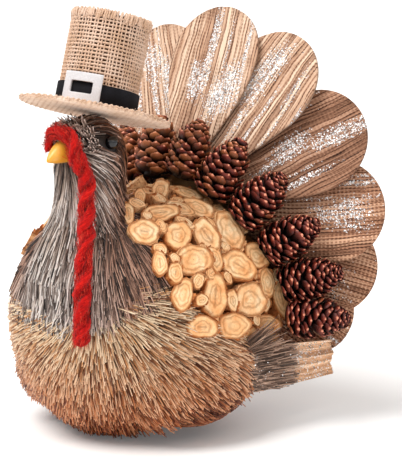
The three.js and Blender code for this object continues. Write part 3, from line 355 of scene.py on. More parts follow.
class Sheaf:
    """Points and faces of one piece, gathered in millimetres with values for each point."""

    def __init__(self, name: str) -> None:
        """Starts an empty piece.

        Args:
            name: The piece's name.
        """
        self.name = name
        self.points: list[Array] = []
        self.faces: list[Array] = []
        self.slots: list[Array] = []
        self.values: dict[str, list[tuple[int, Array]]] = {}
        self.count = 0

    def add(
        self, points: Array, faces: list[Array], slot: int = 0, **values: Values
    ) -> None:
        """Adds points with their faces.

        Args:
            points: Points in millimetres.
            faces: Arrays of faces, each with one number of corners.
            slot: The material slot of the faces.
            values: One number, or one row of three, for each point or for all.
        """
        points = np.asarray(points, float).reshape(-1, 3)
        for group in faces:
            self.faces.append(np.asarray(group, int) + self.count)
            self.slots.append(np.full(len(group), slot, int))
        for name, value in values.items():
            value = np.asarray(value, float)
            shape = (len(points), 3) if value.ndim == 2 else (len(points),)
            self.values.setdefault(name, []).append((self.count, np.broadcast_to(value, shape)))
        self.points.append(points)
        self.count += len(points)

    def join(self, faces: Array) -> None:
        """Adds faces between points that are already there."""
        self.faces.append(faces)
        self.slots.append(np.zeros(len(faces), int))

    def piece(self, materials: list[Material], smooth: bool = True) -> bpy.types.Object:
        """Makes the Blender object.

        Args:
            materials: The materials, in the order of the slots.
            smooth: Whether its faces are shaded smooth.

        Returns:
            The object, linked into the scene.
        """
        points = (np.concatenate(self.points) + (0.0, SHIFT_Y, 0.0)) * MM
        mesh = bpy.data.meshes.new(self.name)
        mesh.vertices.add(len(points))
        mesh.vertices.foreach_set("co", points.astype(np.float32).ravel())
        sizes = np.concatenate([np.full(len(group), group.shape[1]) for group in self.faces])
        corners = np.concatenate([group.ravel() for group in self.faces])
        mesh.loops.add(len(corners))
        mesh.loops.foreach_set("vertex_index", corners.astype(np.int32))
        mesh.polygons.add(len(sizes))
        mesh.polygons.foreach_set("loop_start", np.concatenate([[0], np.cumsum(sizes)[:-1]]).astype(np.int32))
        mesh.polygons.foreach_set("material_index", np.concatenate(self.slots).astype(np.int32))
        mesh.update(calc_edges=True)
        for name, parts in self.values.items():
            value = np.zeros((len(points), *parts[0][1].shape[1:]), np.float32)
            for start, part in parts:
                value[start:start + len(part)] = part
            kind, key = ("FLOAT", "value") if value.ndim == 1 else ("FLOAT_VECTOR", "vector")
            mesh.attributes.new(name, kind, "POINT").data.foreach_set(key, value.ravel())
        mesh.polygons.foreach_set("use_smooth", np.full(len(sizes), smooth))
        made = bpy.data.objects.new(self.name, mesh)
        for material in materials:
            mesh.materials.append(material)
        bpy.context.scene.collection.objects.link(made)
        return made


def show(piece: bpy.types.Object, slot: str, *nodes: str) -> bpy.types.Object:
    """Makes a piece ride with the figure in place of the solids that it stands for.

    Args:
        piece: The piece to place.
        slot: The record's material slot for its finish; not used.
        nodes: The solids that it replaces.

    Returns:
        The same piece.
    """
    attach(piece, "root")
    if nodes:
        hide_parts(*nodes)
    LOG.info("%s: %d faces", piece.name, len(piece.data.polygons))
    return piece


def grid_faces(rows: int, columns: int, closed: bool = False) -> Array:
    """Lists the quads of a grid of points.

    Args:
        rows: Rows of points.
        columns: Points in a row.
        closed: Whether each row closes on itself.

    Returns:
        Corner numbers, four to a face.
    """
    across = columns if closed else columns - 1
    row, column = np.meshgrid(np.arange(rows - 1), np.arange(across), indexing="ij")
    start = (row * columns + column).ravel()
    after = (row * columns + (column + 1) % columns).ravel()
    return np.stack([start, after, after + columns, start + columns], axis=1)


def rim_faces(rows: int, columns: int) -> Array:
    """Lists the quads between the outline of a grid and that of a second grid whose points follow.

    Args:
        rows: Rows of points of each grid.
        columns: Points in a row.

    Returns:
        Corner numbers, four to a face.
    """
    edge = np.concatenate([
        np.arange(rows) * columns, (rows - 1) * columns + np.arange(1, columns),
        np.arange(rows - 2, -1, -1) * columns + columns - 1, np.arange(columns - 2, -1, -1),
    ])
    below = edge + rows * columns
    return np.stack([edge[:-1], edge[1:], below[1:], below[:-1]], axis=1)


def tubes(
    paths: Array, radius: Values, sides: int, roll: Values = 0.0
) -> tuple[Array, list[Array]]:
    """Skins many paths of the same number of points at once.

    Args:
        paths: Points in millimetres, by path and place along it.
        radius: Radii, by path and place along it, or fewer.
        sides: Sides of each tube.
        roll: How far each tube is turned about itself.

    Returns:
        The points by path, place and side, and the faces: sides, tips and roots.
    """
    count, steps = paths.shape[:2]
    tangent = unit(np.gradient(paths, axis=1))
    mean = unit(tangent.mean(axis=1))
    helper = np.where(np.abs(mean[:, 2:3]) < 0.9, [[0.0, 0.0, 1.0]], [[1.0, 0.0, 0.0]])
    across = unit(np.cross(tangent, helper[:, None, :]))
    upright = np.cross(across, tangent)
    angle = circle(sides)[None, :] + np.broadcast_to(np.asarray(roll, float), (count,))[:, None]
    ring = np.cos(angle)[:, None, :, None] * across[:, :, None, :]
    ring = ring + np.sin(angle)[:, None, :, None] * upright[:, :, None, :]
    points = paths[:, :, None, :] + ring * np.broadcast_to(radius, (count, steps))[:, :, None, None]
    pattern = grid_faces(steps, sides, closed=True)
    starts = np.arange(count)[:, None, None] * (steps * sides)
    faces = (starts + pattern[None]).reshape(-1, 4)
    tip = (starts[:, 0, :] + (steps - 1) * sides + np.arange(sides)[None]).reshape(-1, sides)
    root = (starts[:, 0, :] + np.arange(sides)[None, ::-1]).reshape(-1, sides)
    return points, [faces, tip, root]


@dataclass
class BodyForm:
    """The foam bird's sizes, in millimetres, with the tail tips at y = 0 and the beak towards -Y."""

    axis_height: float = 79
    half_width: float = 75
    half_height: float = 83
    belly: float = 76
    middle_y: float = -118
    nose: float = 79
    rear: float = 116
    rise_start: float = -84
    rise: float = 46
    collar: Place = (0, -164, 126)
    collar_radius: float = 56
    collar_spread: float = 1.2
    collar_rear: float = -145
    edge_y: float = -150
    edge_height: float = 105
    edge_fall: float = 0.58
    head_height: float = 203
    head_radius: float = 21
    coat: float = 3
    neck_heights: tuple[float, ...] = (104, 116, 128, 140, 157, 176, 190, 203)
    neck_radii: tuple[float, ...] = (39, 39, 35, 30, 22, 19, 20, 21)
    fillet: float = 5
    tuft: Place = (60, -116, 44)
    tuft_reach: Place = (24, 45, 31)
    wing_flare: float = 18
    beak_height: float = 205.8
    hat_tilt: float = 17
    hat_seat: float = 25.6
    hat_forward: float = 0.5
    apex_y: float = -66
    apex_height: float = 142.5
    sweep: float = 24.2
    probe: float = 0.4

    def section(self, y: Array, offset: float) -> tuple[Array, Array, Array]:
        """Measures the body across.

        Args:
            y: Places along the body.
            offset: How far the form is grown.

        Returns:
            Half width, height of the middle and half height at each place.
        """
        share = np.sqrt(np.maximum(1e-6, 1 - (np.maximum(0, self.middle_y - y) / (self.nose + offset)) ** 2))
        top = self.axis_height + (self.half_height + offset) * share
        bottom = self.axis_height - (self.belly + offset) * share + self.belly_lift(y)
        return (self.half_width + offset) * share, (top + bottom) / 2, (top - bottom) / 2

    def belly_lift(self, y: Array) -> Array:
        """Gives how far the belly is raised towards the tail."""
        long = self.middle_y + self.rear - self.rise_start
        return self.rise * (np.maximum(0, y - self.rise_start) / long) ** 2

    def point(self, y: Array, turn: Array, offset: float) -> Array:
        """Places points on the grown body, by place along it and turn from straight up."""
        width, middle, height = self.section(y, offset)
        return np.stack([width * np.sin(turn), y, middle + height * np.cos(turn)], axis=-1)

    def body_gap(self, points: Array) -> Array:
        """Measures roughly how far points lie outside the bare body.

        Args:
            points: Points in millimetres.

        Returns:
            The gap at each point, below 0 inside.
        """
        half = (self.half_height + self.belly - self.belly_lift(points[..., 1])) / 2
        ahead = np.maximum(0, self.middle_y - points[..., 1]) / self.nose
        aside = points[..., 0] / self.half_width
        above = (points[..., 2] - self.axis_height - self.half_height + half) / half
        level = np.sqrt(ahead**2 + aside**2 + above**2)
        slope = np.sqrt((ahead / self.nose) ** 2 + (aside / self.half_width) ** 2 + (above / half) ** 2)
        return (level - 1) * level / np.maximum(slope, 1e-6)

    def neck_gap(self, points: Array) -> Array:
        """Measures roughly how far points lie outside the bare neck and head.

        Args:
            points: Points in millimetres.

        Returns:
            The gap at each point, below 0 inside.
        """
        height = points[..., 2]
        radius = self.neck_radius(height)
        slope = self.neck_radius(height + 1) - self.neck_radius(height - 1)
        out = np.hypot(points[..., 0], points[..., 1] - NECK_AXIS_Y)
        neck = (out - radius) / np.sqrt(1 + (slope / 2) ** 2)
        ball = np.linalg.norm(points - self.head(), axis=-1) - self.head_radius
        return np.where(height > self.head_height, ball, neck) + np.maximum(0, self.neck_heights[1] - height)

    def tuft_gap(self, points: Array) -> Array:
        """Measures roughly how far points lie outside the round tufts of straw over the wings' roots.

        Args:
            points: Points in millimetres.

        Returns:
            The gap at each point, below 0 inside.
        """
        turn = math.radians(self.wing_flare)
        aside, behind = np.abs(points[..., 0]) - self.tuft[0], points[..., 1] - self.tuft[1]
        shares = [
            (aside * math.cos(turn) - behind * math.sin(turn)) / self.tuft_reach[0],
            (aside * math.sin(turn) + behind * math.cos(turn)) / self.tuft_reach[1],
            (points[..., 2] - self.tuft[2]) / self.tuft_reach[2],
        ]
        level = np.sqrt(sum(share**2 for share in shares))
        slope = np.sqrt(sum((share / reach) ** 2 for share, reach in zip(shares, self.tuft_reach)))
        return (level - 1) * level / np.maximum(slope, 1e-6)

    def tuft_point(self, out: Array, side: Values) -> Array:
        """Places points on the tufts.

        Args:
            out: Unit ways from a tuft's middle: out from the body, to the rear and up.
            side: 1 for the left tuft, -1 for the right.

        Returns:
            The points.
        """
        turn = math.radians(self.wing_flare)
        aside, behind, up = (out * self.tuft_reach).T
        x = self.tuft[0] + aside * math.cos(turn) + behind * math.sin(turn)
        y = self.tuft[1] - aside * math.sin(turn) + behind * math.cos(turn)
        return np.stack([side * x, y, self.tuft[2] + up], axis=-1)

    def gap(self, points: Array) -> Array:
        """Measures roughly how far points lie outside the bird: body, neck and tufts, faired together.

        Args:
            points: Points in millimetres.

        Returns:
            The gap at each point, below 0 inside.
        """
        total = self.body_gap(points)
        for other, fillet in ((self.neck_gap(points), self.fillet), (self.tuft_gap(points), 3 * self.fillet)):
            near = np.clip(1 - np.abs(total - other) / fillet, 0, 1)
            total = np.minimum(total, other) - near**2 * fillet / 4
        return total

    def normal(self, points: Array, gap: Callable[[Array], Array] | None = None) -> Array:
        """Gives the way out of the bird, or of another form by its gap, at points.

        Args:
            points: Points in millimetres.
            gap: The other form's gap, where it isn't the bird.

        Returns:
            Unit ways.
        """
        gap = gap or self.gap
        steps = np.eye(3) * self.probe
        return unit(np.stack([gap(points + step) - gap(points - step) for step in steps], axis=-1))

    def settle(self, points: Array, rise: Values) -> Array:
        """Moves points straight in or out until they lie a height above the bare bird.

        Args:
            points: Points in millimetres.
            rise: The height, one each or one for all.

        Returns:
            The moved points.
        """
        for _ in range(2):
            points = points - self.normal(points) * (self.gap(points) - rise)[..., None]
        return points

    def flank_edge(self, y: Array) -> Array:
        """Gives the height of the edge between the tan coat and the slices."""
        return self.edge_height - self.edge_fall * (y - self.edge_y)

    def from_collar(self, points: Array) -> Array:
        """Measures points from the middle of the collar, which is wider than it is high."""
        return np.linalg.norm((points - np.array(self.collar)) / (self.collar_spread, 1, 1), axis=-1)

    def in_collar(self, points: Array, margin: float) -> Array:
        """Tells which points lie in the collar, less a margin."""
        return (self.from_collar(points) < self.collar_radius - margin) & (points[..., 1] < self.collar_rear)

    def neck_radius(self, height: Array) -> Array:
        """Gives the bare neck's or head's radius at a height.

        Args:
            height: Heights in millimetres.

        Returns:
            The radius at each height.
        """
        neck = np.interp(height, self.neck_heights, self.neck_radii)
        above = np.maximum(0, height - self.head_height)
        ball = np.sqrt(np.maximum(0, self.head_radius**2 - above**2))
        return np.where(height > self.head_height, ball, neck)

    def head(self) -> Array:
        """Gives the middle of the head."""
        return np.array([0.0, NECK_AXIS_Y, self.head_height])

    def hat_frame(self) -> tuple[Array, Array, Array]:
        """Gives the hat's origin at the brim's underside, its way up and its way forward.

        Returns:
            The origin, the way up and the way forward.
        """
        tilt = math.radians(self.hat_tilt)
        up = np.array([0.0, math.sin(tilt), math.cos(tilt)])
        front = np.array([0.0, -math.cos(tilt), math.sin(tilt)])
        return self.head() + up * self.hat_seat + front * self.hat_forward, up, front

    def tail_start(self, points: Array) -> Array:
        """Gives the y at which the tail's cone begins behind points."""
        out = np.hypot(points[..., 0], points[..., 2] - self.apex_height)
        return self.apex_y + math.tan(math.radians(self.sweep)) * out


BODY = BodyForm()


@dataclass(frozen=True)
class StrawFinish:
    """Dried grass straws: pale and dark stalks, darker at the root as painted shade where the straws overlap,
    and pale at the cut tip.
    """

    name: str
    dark: str
    middle: str
    pale: str
    tint: str

    def material(self) -> Material:
        """Builds the material.

        Returns:
            The finished material.
        """
        graph = ShaderGraph(self.name)
        streak = graph.noise(graph.stretch(graph.place(), (900, 900, 260)), 1.0, 3.0)
        change = graph.swing(streak, 0.3)
        mixed = graph.plus(graph.attribute("tone"), change)
        color = graph.ramp(mixed, (0.17, rgb(self.dark)), (0.5, rgb(self.middle)), (0.83, rgb(self.pale)))
        color = graph.blend(graph.attribute("tint"), color, graph.shaded(color, rgb(self.tint)))
        # Painted shade: each straw darkens towards its root, where the straws overlap and shade each other.
        along = graph.attribute("along")
        shade = graph.ramp(along, (0.0, (0.22, 0.15, 0.11, 1)), (0.5, (0.6, 0.53, 0.48, 1)), (0.9, WHITE))
        color = graph.shaded(color, shade)
        return graph.close(color, graph.band(streak, -0.6, 1.5), None, Specular_IOR_Level=0.45)


@dataclass(frozen=True)
class SliceFinish:
    """A sawn twig: pale wood with ring lines, and bark on the rim and side, with painted light on the higher
    slices and painted shade low on the side.
    """

    name: str = "sawn_twig"

    def face(self) -> Material:
        """Builds the material of the sawn face.

        Returns:
            The finished material.
        """
        graph = ShaderGraph(self.name + "_face")
        place = graph.place()
        rim, ring, crack = (graph.attribute(name) for name in ("rim", "ring", "crack"))
        wander = graph.swing(graph.noise(place, 210.0, 2.0), 0.42)
        saw = graph.noise(graph.stretch(place, (1500, 600, 900)), 1.0, 3.0)
        patch = graph.noise(place, 130.0, 2.0)
        color = graph.ramp(patch, (0.3, rgb("f4b177")), (0.5, rgb("ffce9a")), (0.72, rgb("ffe2b9")))
        inner = graph.plus(rim, wander)
        for where, strength in ((ring, 0.62), (graph.times(ring, 0.5), 0.38)):
            gap = graph.math("ABSOLUTE", graph.minus(inner, where))
            line = graph.times(graph.band(gap, 0.13, 0.0), strength)
            color = graph.blend(line, color, rgb("a9682f"))
        split = graph.band(graph.plus(crack, graph.times(wander, 0.2)), 0.08, 0.02)
        color = graph.blend(graph.times(split, 0.5), color, rgb("8a4d20"))
        edge = graph.band(graph.plus(rim, graph.times(wander, 0.4)), 0.82, 0.95)
        color = graph.blend(graph.times(edge, 0.85), color, rgb("a2622b"))
        # Painted light: the tone rises with the slice's height, so higher slices are paler; the rest of it is
        # each slice's random tone.
        tone = graph.attribute("tone")
        tint = graph.ramp(tone, (0.0, (0.88, 0.74, 0.62, 1)), (0.5, (1, 0.96, 0.9, 1)), (1.0, WHITE))
        color = graph.shaded(color, tint)
        fleck = graph.ramp(saw, (0.3, (0.84, 0.79, 0.7, 1)), (0.6, WHITE))
        color = graph.blend(0.7, color, fleck, "MULTIPLY")
        return graph.close(color, 0.62, graph.bump(saw, 0.0005, 0.6), Specular_IOR_Level=0.3)

    def side(self) -> Material:
        """Builds the material of the bark round the side.

        Returns:
            The finished material.
        """
        graph = ShaderGraph(self.name + "_bark")
        grain = graph.noise(graph.place(), 420.0, 4.0, 0.65)
        color = graph.ramp(grain, (0.25, rgb("7e421c")), (0.5, rgb("bf733c")), (0.78, rgb("efa668")))
        # The same tone darkens the bark of the lower slices, as painted shade besides each slice's random
        # tone.
        tone = graph.ramp(graph.attribute("tone"), (0, (0.8, 0.74, 0.68, 1)), (1, WHITE))
        color = graph.shaded(color, tone)
        # Pale bare wood shows on the paler slices, whose tone is partly painted light.
        bare = graph.times(graph.band(graph.attribute("tone"), 0.6, 0.95), graph.band(grain, 0.3, 0.55))
        color = graph.blend(graph.times(bare, 0.75), color, rgb("f8cf9c"))
        # Painted shade: the bark darkens down the side towards the body.
        depth = graph.ramp(graph.attribute("rim"), (0.0, (0.36, 0.27, 0.22, 1)), (0.75, WHITE))
        color = graph.shaded(color, depth)
        return graph.close(color, 0.7, graph.bump(grain, 0.0009, 0.8), Specular_IOR_Level=0.25)


@dataclass(frozen=True)
class ConeFinish:
    """Dry cone scales: deep red brown, glossy, with painted shade deep between the scales, a painted
    highlight at the lip and painted light on the cones that face the light.
    """

    name: str = "cone_scale"

    def material(self) -> Material:
        """Builds the material.

        Returns:
            The finished material.
        """
        graph = ShaderGraph(self.name)
        grain = graph.noise(graph.place(), 500.0, 4.0, 0.6)
        # Painted shade near each scale's foot, deep between the scales, rising to a painted highlight at the
        # lip.
        reach = graph.plus(graph.attribute("lip"), graph.swing(grain, 0.22))
        color = graph.ramp(
            reach, (0.0, rgb("0a0201")), (0.7, rgb("240602")), (0.88, rgb("541408")), (0.97, rgb("84301a")),
            (1.06, rgb("f0a284"))
        )
        # Painted light: cones and scales with a higher tone face the light; they are paler and their lips get
        # a warm glow, while low tones are darkened.
        tone = graph.attribute("tone")
        tint = graph.ramp(tone, (0.0, (0.5, 0.42, 0.4, 1)), (0.5, (0.9, 0.85, 0.82, 1)), (1.0, WHITE))
        color = graph.shaded(color, tint)
        painted_light = graph.times(graph.band(tone, 0.6, 1.0), graph.band(reach, 0.55, 0.9))
        color = graph.blend(graph.times(painted_light, 0.6), color, rgb("b5713f"))
        rough = graph.band(grain, -0.6, 1.6)
        return graph.close(color, rough, graph.bump(grain, 0.0003, 0.4), Specular_IOR_Level=0.35)


@dataclass(frozen=True)
class BarkFinish:
    """Strips of thin bark glued side by side: dark grain, cross ribs on some and a frost of silver specks."""

    name: str
    pale: str
    middle: str
    dark: str
    ribs: float = 0.0
    lines: float = 1.0

    def strips(self, graph: ShaderGraph, across: Socket, scale: float) -> tuple[Socket, Socket]:
        """Parts the sheet into lengthwise strips.

        Args:
            graph: The node graph.
            across: The place across the sheet, in millimetres.
            scale: Strips per millimetre.

        Returns:
            The dark line along each strip's edges, and a chance for each strip.
        """
        made = []
        for feature in ("DISTANCE_TO_EDGE", "F1"):
            node = graph.node("ShaderNodeTexVoronoi", Scale=scale)
            node.voronoi_dimensions, node.feature = "1D", feature
            graph.put(node.inputs["W"], across)
            made.append(node)
        line = graph.minus(1.0, graph.band(made[0].outputs["Distance"], 0.15 * scale, 0.62 * scale))
        return line, graph.node("ShaderNodeSeparateColor", Color=made[1].outputs["Color"]).outputs["Red"]

    def material(self) -> Material:
        """Builds the material.

        Returns:
            The finished material.
        """
        graph = ShaderGraph(self.name)
        sheet = graph.attribute("sheet", "Vector")
        frost = graph.attribute("frost")
        parts = graph.node("ShaderNodeSeparateXYZ", Vector=sheet)
        wobble = graph.noise(graph.stretch(sheet, (0.05, 0.03, 1.0)), 1.0, 3.0)
        across = graph.plus(graph.plus(parts.outputs["X"], graph.times(wobble, 5.0)),
                            graph.times(parts.outputs["Z"], 13.7))
        grain = graph.noise(graph.stretch(sheet, (1.1, 0.035, 1.0)), 1.0, 4.0, 0.62)
        knots = graph.noise(graph.stretch(sheet, (0.25, 0.12, 1.0)), 1.0, 3.0, 0.6)
        wide, chances = self.strips(graph, across, 0.3)
        thin, others = self.strips(graph, across, 0.75)
        change = graph.plus(graph.swing(grain, 0.55), graph.swing(knots, 0.4))
        tone = graph.plus(graph.times(chances, 0.5), graph.times(others, 0.2))
        mixed = graph.plus(graph.plus(tone, 0.2), change)
        color = graph.ramp(mixed, (0.0, rgb(self.dark)), (0.38, rgb(self.middle)), (0.75, rgb(self.pale)))
        broken = graph.band(graph.noise(graph.stretch(sheet, (0.4, 0.035, 1.0)), 1.0, 2.0), 0.36, 0.56)
        phase = graph.plus(graph.times(parts.outputs["Y"], 2.3), graph.times(chances, 20.0))
        beat = graph.math("SINE", phase)
        dash = graph.plus(graph.times(graph.band(beat, -0.7, 0.3), 0.45), 0.55)
        wide = graph.times(graph.times(wide, dash), graph.plus(graph.times(broken, 0.8), 0.2))
        thin = graph.times(graph.times(thin, dash), graph.minus(0.85, broken))
        line = graph.times(graph.math("MAXIMUM", wide, graph.times(thin, 0.7)), self.lines)
        height = graph.minus(graph.times(grain, 0.5), line)
        if self.ribs:
            waves = [graph.math("SINE", graph.times(parts.outputs[axis], turn))
                     for axis, turn in (("X", 2.5), ("Y", 2.1))]
            lattice = graph.times(graph.math("MAXIMUM", waves[0], waves[1]), self.ribs)
            weave = graph.ramp(graph.band(lattice, -0.6, 0.6), (0.0, (0.5, 0.4, 0.34, 1)), (1.0, WHITE))
            color = graph.shaded(color, weave)
            height = graph.plus(height, graph.times(lattice, 0.4))
        seam = graph.ramp(line, (0.0, WHITE), (0.5, (0.42, 0.3, 0.23, 1)), (1.0, (0.1, 0.06, 0.045, 1)))
        color = graph.shaded(color, seam)
        cell = graph.node("ShaderNodeTexVoronoi", Vector=sheet, Scale=1.35).outputs["Color"]
        spark = graph.node("ShaderNodeSeparateColor", Color=cell)
        chance = graph.swing(spark.outputs["Red"], 0.95)
        cover = graph.band(graph.plus(graph.times(frost, 0.8), chance), 0.48, 0.56)
        silver = graph.ramp(
            spark.outputs["Green"], (0.0, rgb("5d524c")), (0.3, rgb("a8a2a0")), (0.55, rgb("e8e7ea")),
            (0.8, WHITE)
        )
        color = graph.blend(cover, color, silver)
        rough = graph.minus(0.75, graph.times(cover, 0.35))
        return graph.close(color, rough, graph.bump(height, 0.0008, 0.7), Specular_IOR_Level=0.35)


@dataclass(frozen=True)
class GlitterFinish:
    """Silver flakes."""

    name: str = "silver_flake"

    def material(self) -> Material:
        """Builds the material.

        Returns:
            The finished material.
        """
        graph = ShaderGraph(self.name)
        tone = graph.attribute("tone")
        color = graph.ramp(tone, (0.0, rgb("b9b6b3")), (0.5, rgb("ececec")), (1.0, rgb("ffffff")))
        return graph.close(color, graph.band(tone, -0.6, 2.4), None, Metallic=0.75)


class Weave(Enum):
    """The kinds of plain cloth on the figure."""

    BURLAP = ("burlap_thread", "b3885f", "d7b59c", "edd6c5", 1400.0)
    LINING = ("burlap_lining", "3c2210", "56341c", "724a2a", 900.0)
    # Painted shade: the lining is dark, for the shade seen through the holes of the cloth.
    UNDERSIDE = ("brim_underside", "c7a27f", "dfc0a7", "f0ddcb", 700.0)
    FELT = ("white_felt", "c2c0c2", "d6d4d6", "e6e4e6", 1600.0)
    PAD = ("felt_pad", "6d573f", "8a6f52", "a3886a", 1500.0)

    def material(self) -> Material:
        """Builds the material of this cloth.

        Returns:
            The finished material.
        """
        name, dark, middle, pale, scale = self.value
        graph = ShaderGraph(name)
        place = graph.place()
        fibre = graph.noise(place, scale, 4.0, 0.65)
        broad = graph.noise(place, 60.0, 2.0)
        mixed = graph.plus(graph.times(fibre, 0.6), graph.times(broad, 0.4))
        color = graph.ramp(mixed, (0.32, rgb(dark)), (0.5, rgb(middle)), (0.68, rgb(pale)))
        normal = graph.bump(fibre, 0.0004, 0.6)
        return graph.close(color, 0.88, normal, Specular_IOR_Level=0.2, Sheen_Weight=0.15)


class PlainFinish(Enum):
    """Finishes of the small and the hidden pieces."""

    HORN = ("horn", "c8801c", "e2a032", "efbb58", 90.0, 0.3, 0.0002)
    BEAD = ("bead", "050507", "0b0c10", "16181e", 160.0, 0.08, 0.00002)
    RIBBON = ("ribbon", "060508", "0e0d11", "19171d", 900.0, 0.75, 0.0003)
    # Painted shade: the foam is dark brown to stand for the shade in the gaps between the slices and straws,
    # where it shows.
    FOAM = ("brown_foam", "4c2f19", "6b4526", "855a34", 420.0, 0.9, 0.0008)
    DOWEL = ("dowel_wood", "c9a473", "d9b98a", "e6cb9f", 300.0, 0.7, 0.0002)
    KRAFT = ("kraft_board", "96703f", "ab835a", "bd986c", 520.0, 0.9, 0.0003)

    def material(self) -> Material:
        """Builds the material of this finish.

        Returns:
            The finished material.
        """
        name, dark, middle, pale, scale, roughness, depth = self.value
        graph = ShaderGraph(name)
        place = graph.place()
        speckle = graph.noise(place, scale, 4.0, 0.6)
        broad = graph.noise(place, scale / 9, 2.0)
        mixed = graph.plus(graph.times(speckle, 0.5), graph.times(broad, 0.5))
        color = graph.ramp(mixed, (0.34, rgb(dark)), (0.5, rgb(middle)), (0.66, rgb(pale)))
        rough = graph.plus(graph.times(speckle, 0.12), roughness - 0.06)
        shine = 0.15 if roughness > 0.5 else 0.5
        return graph.close(color, rough, graph.bump(speckle, depth, 0.4), Specular_IOR_Level=shine)


@dataclass(frozen=True)
class WoolFinish:
    """Felted red wool, paler where the fibres stand out and on the raised lumps, the lumps as painted light,
    with painted shade in the crevices between the plies.
    """

    name: str = "red_wool"

    def material(self) -> Material:
        """Builds the material.

        Returns:
            The finished material.
        """
        graph = ShaderGraph(self.name)
        sheet = graph.attribute("sheet", "Vector")
        fibre = graph.noise(graph.stretch(sheet, (1.5, 0.3, 1.0)), 1.0, 4.0, 0.7)
        mixed = graph.plus(graph.times(fibre, 0.65), graph.times(graph.attribute("tone"), 0.35))
        color = graph.ramp(
            mixed, (0.32, rgb("3a0202")), (0.44, rgb("9c0909")), (0.57, rgb("cc1812")), (0.72, rgb("f24a34"))
        )
        # Painted shade: the wattle's along value darkens the crevices between the plies.
        shade = graph.ramp(graph.attribute("along"), (0.0, (0.12, 0.07, 0.07, 1)), (0.75, WHITE))
        color = graph.shaded(color, shade)
        normal = graph.bump(fibre, 0.0009, 0.8)
        return graph.close(color, 0.85, normal, Specular_IOR_Level=0.1, Sheen_Weight=0.08)


class LampKind(Enum):
    """The kinds of light."""

    SUN = "SUN"
    AREA = "AREA"


def stand(name: str, data: bpy.types.ID, place: Vector, look: Vector) -> bpy.types.Object:
    """Sets up a camera or a light.

    Args:
        name: Its name.
        data: The camera or the light.
        place: Where it stands, in metres.
        look: The way that it faces.

    Returns:
        The object, linked into the scene.
    """
    made = bpy.data.objects.new(name, data)
    made.location = place
    made.rotation_mode = "QUATERNION"
    made.rotation_quaternion = look.to_track_quat("-Z", "Y")
    bpy.context.scene.collection.objects.link(made)
    return made


@dataclass(frozen=True)
class Lamp:
    """One light: a square lamp in metres and watts, or a sun in degrees across and watts a square metre."""

    name: str
    kind: LampKind
    place: Place
    size: float
    power: float
    color: str
    target: Place = (0, 0, 0.14)

    def build(self) -> None:
        """Makes the light, facing the figure."""
        data = bpy.data.lights.new(self.name, self.kind.value)
        data.energy = self.power
        data.color = rgb(self.color)[:3]
        if self.kind is LampKind.SUN:
            data.angle = math.radians(self.size)
            stand(self.name, data, Vector((0, 0, 0)), -Vector(self.place))
            return
        data.shape = "SQUARE"
        data.size = self.size
        stand(self.name, data, Vector(self.place), Vector(self.target) - Vector(self.place))


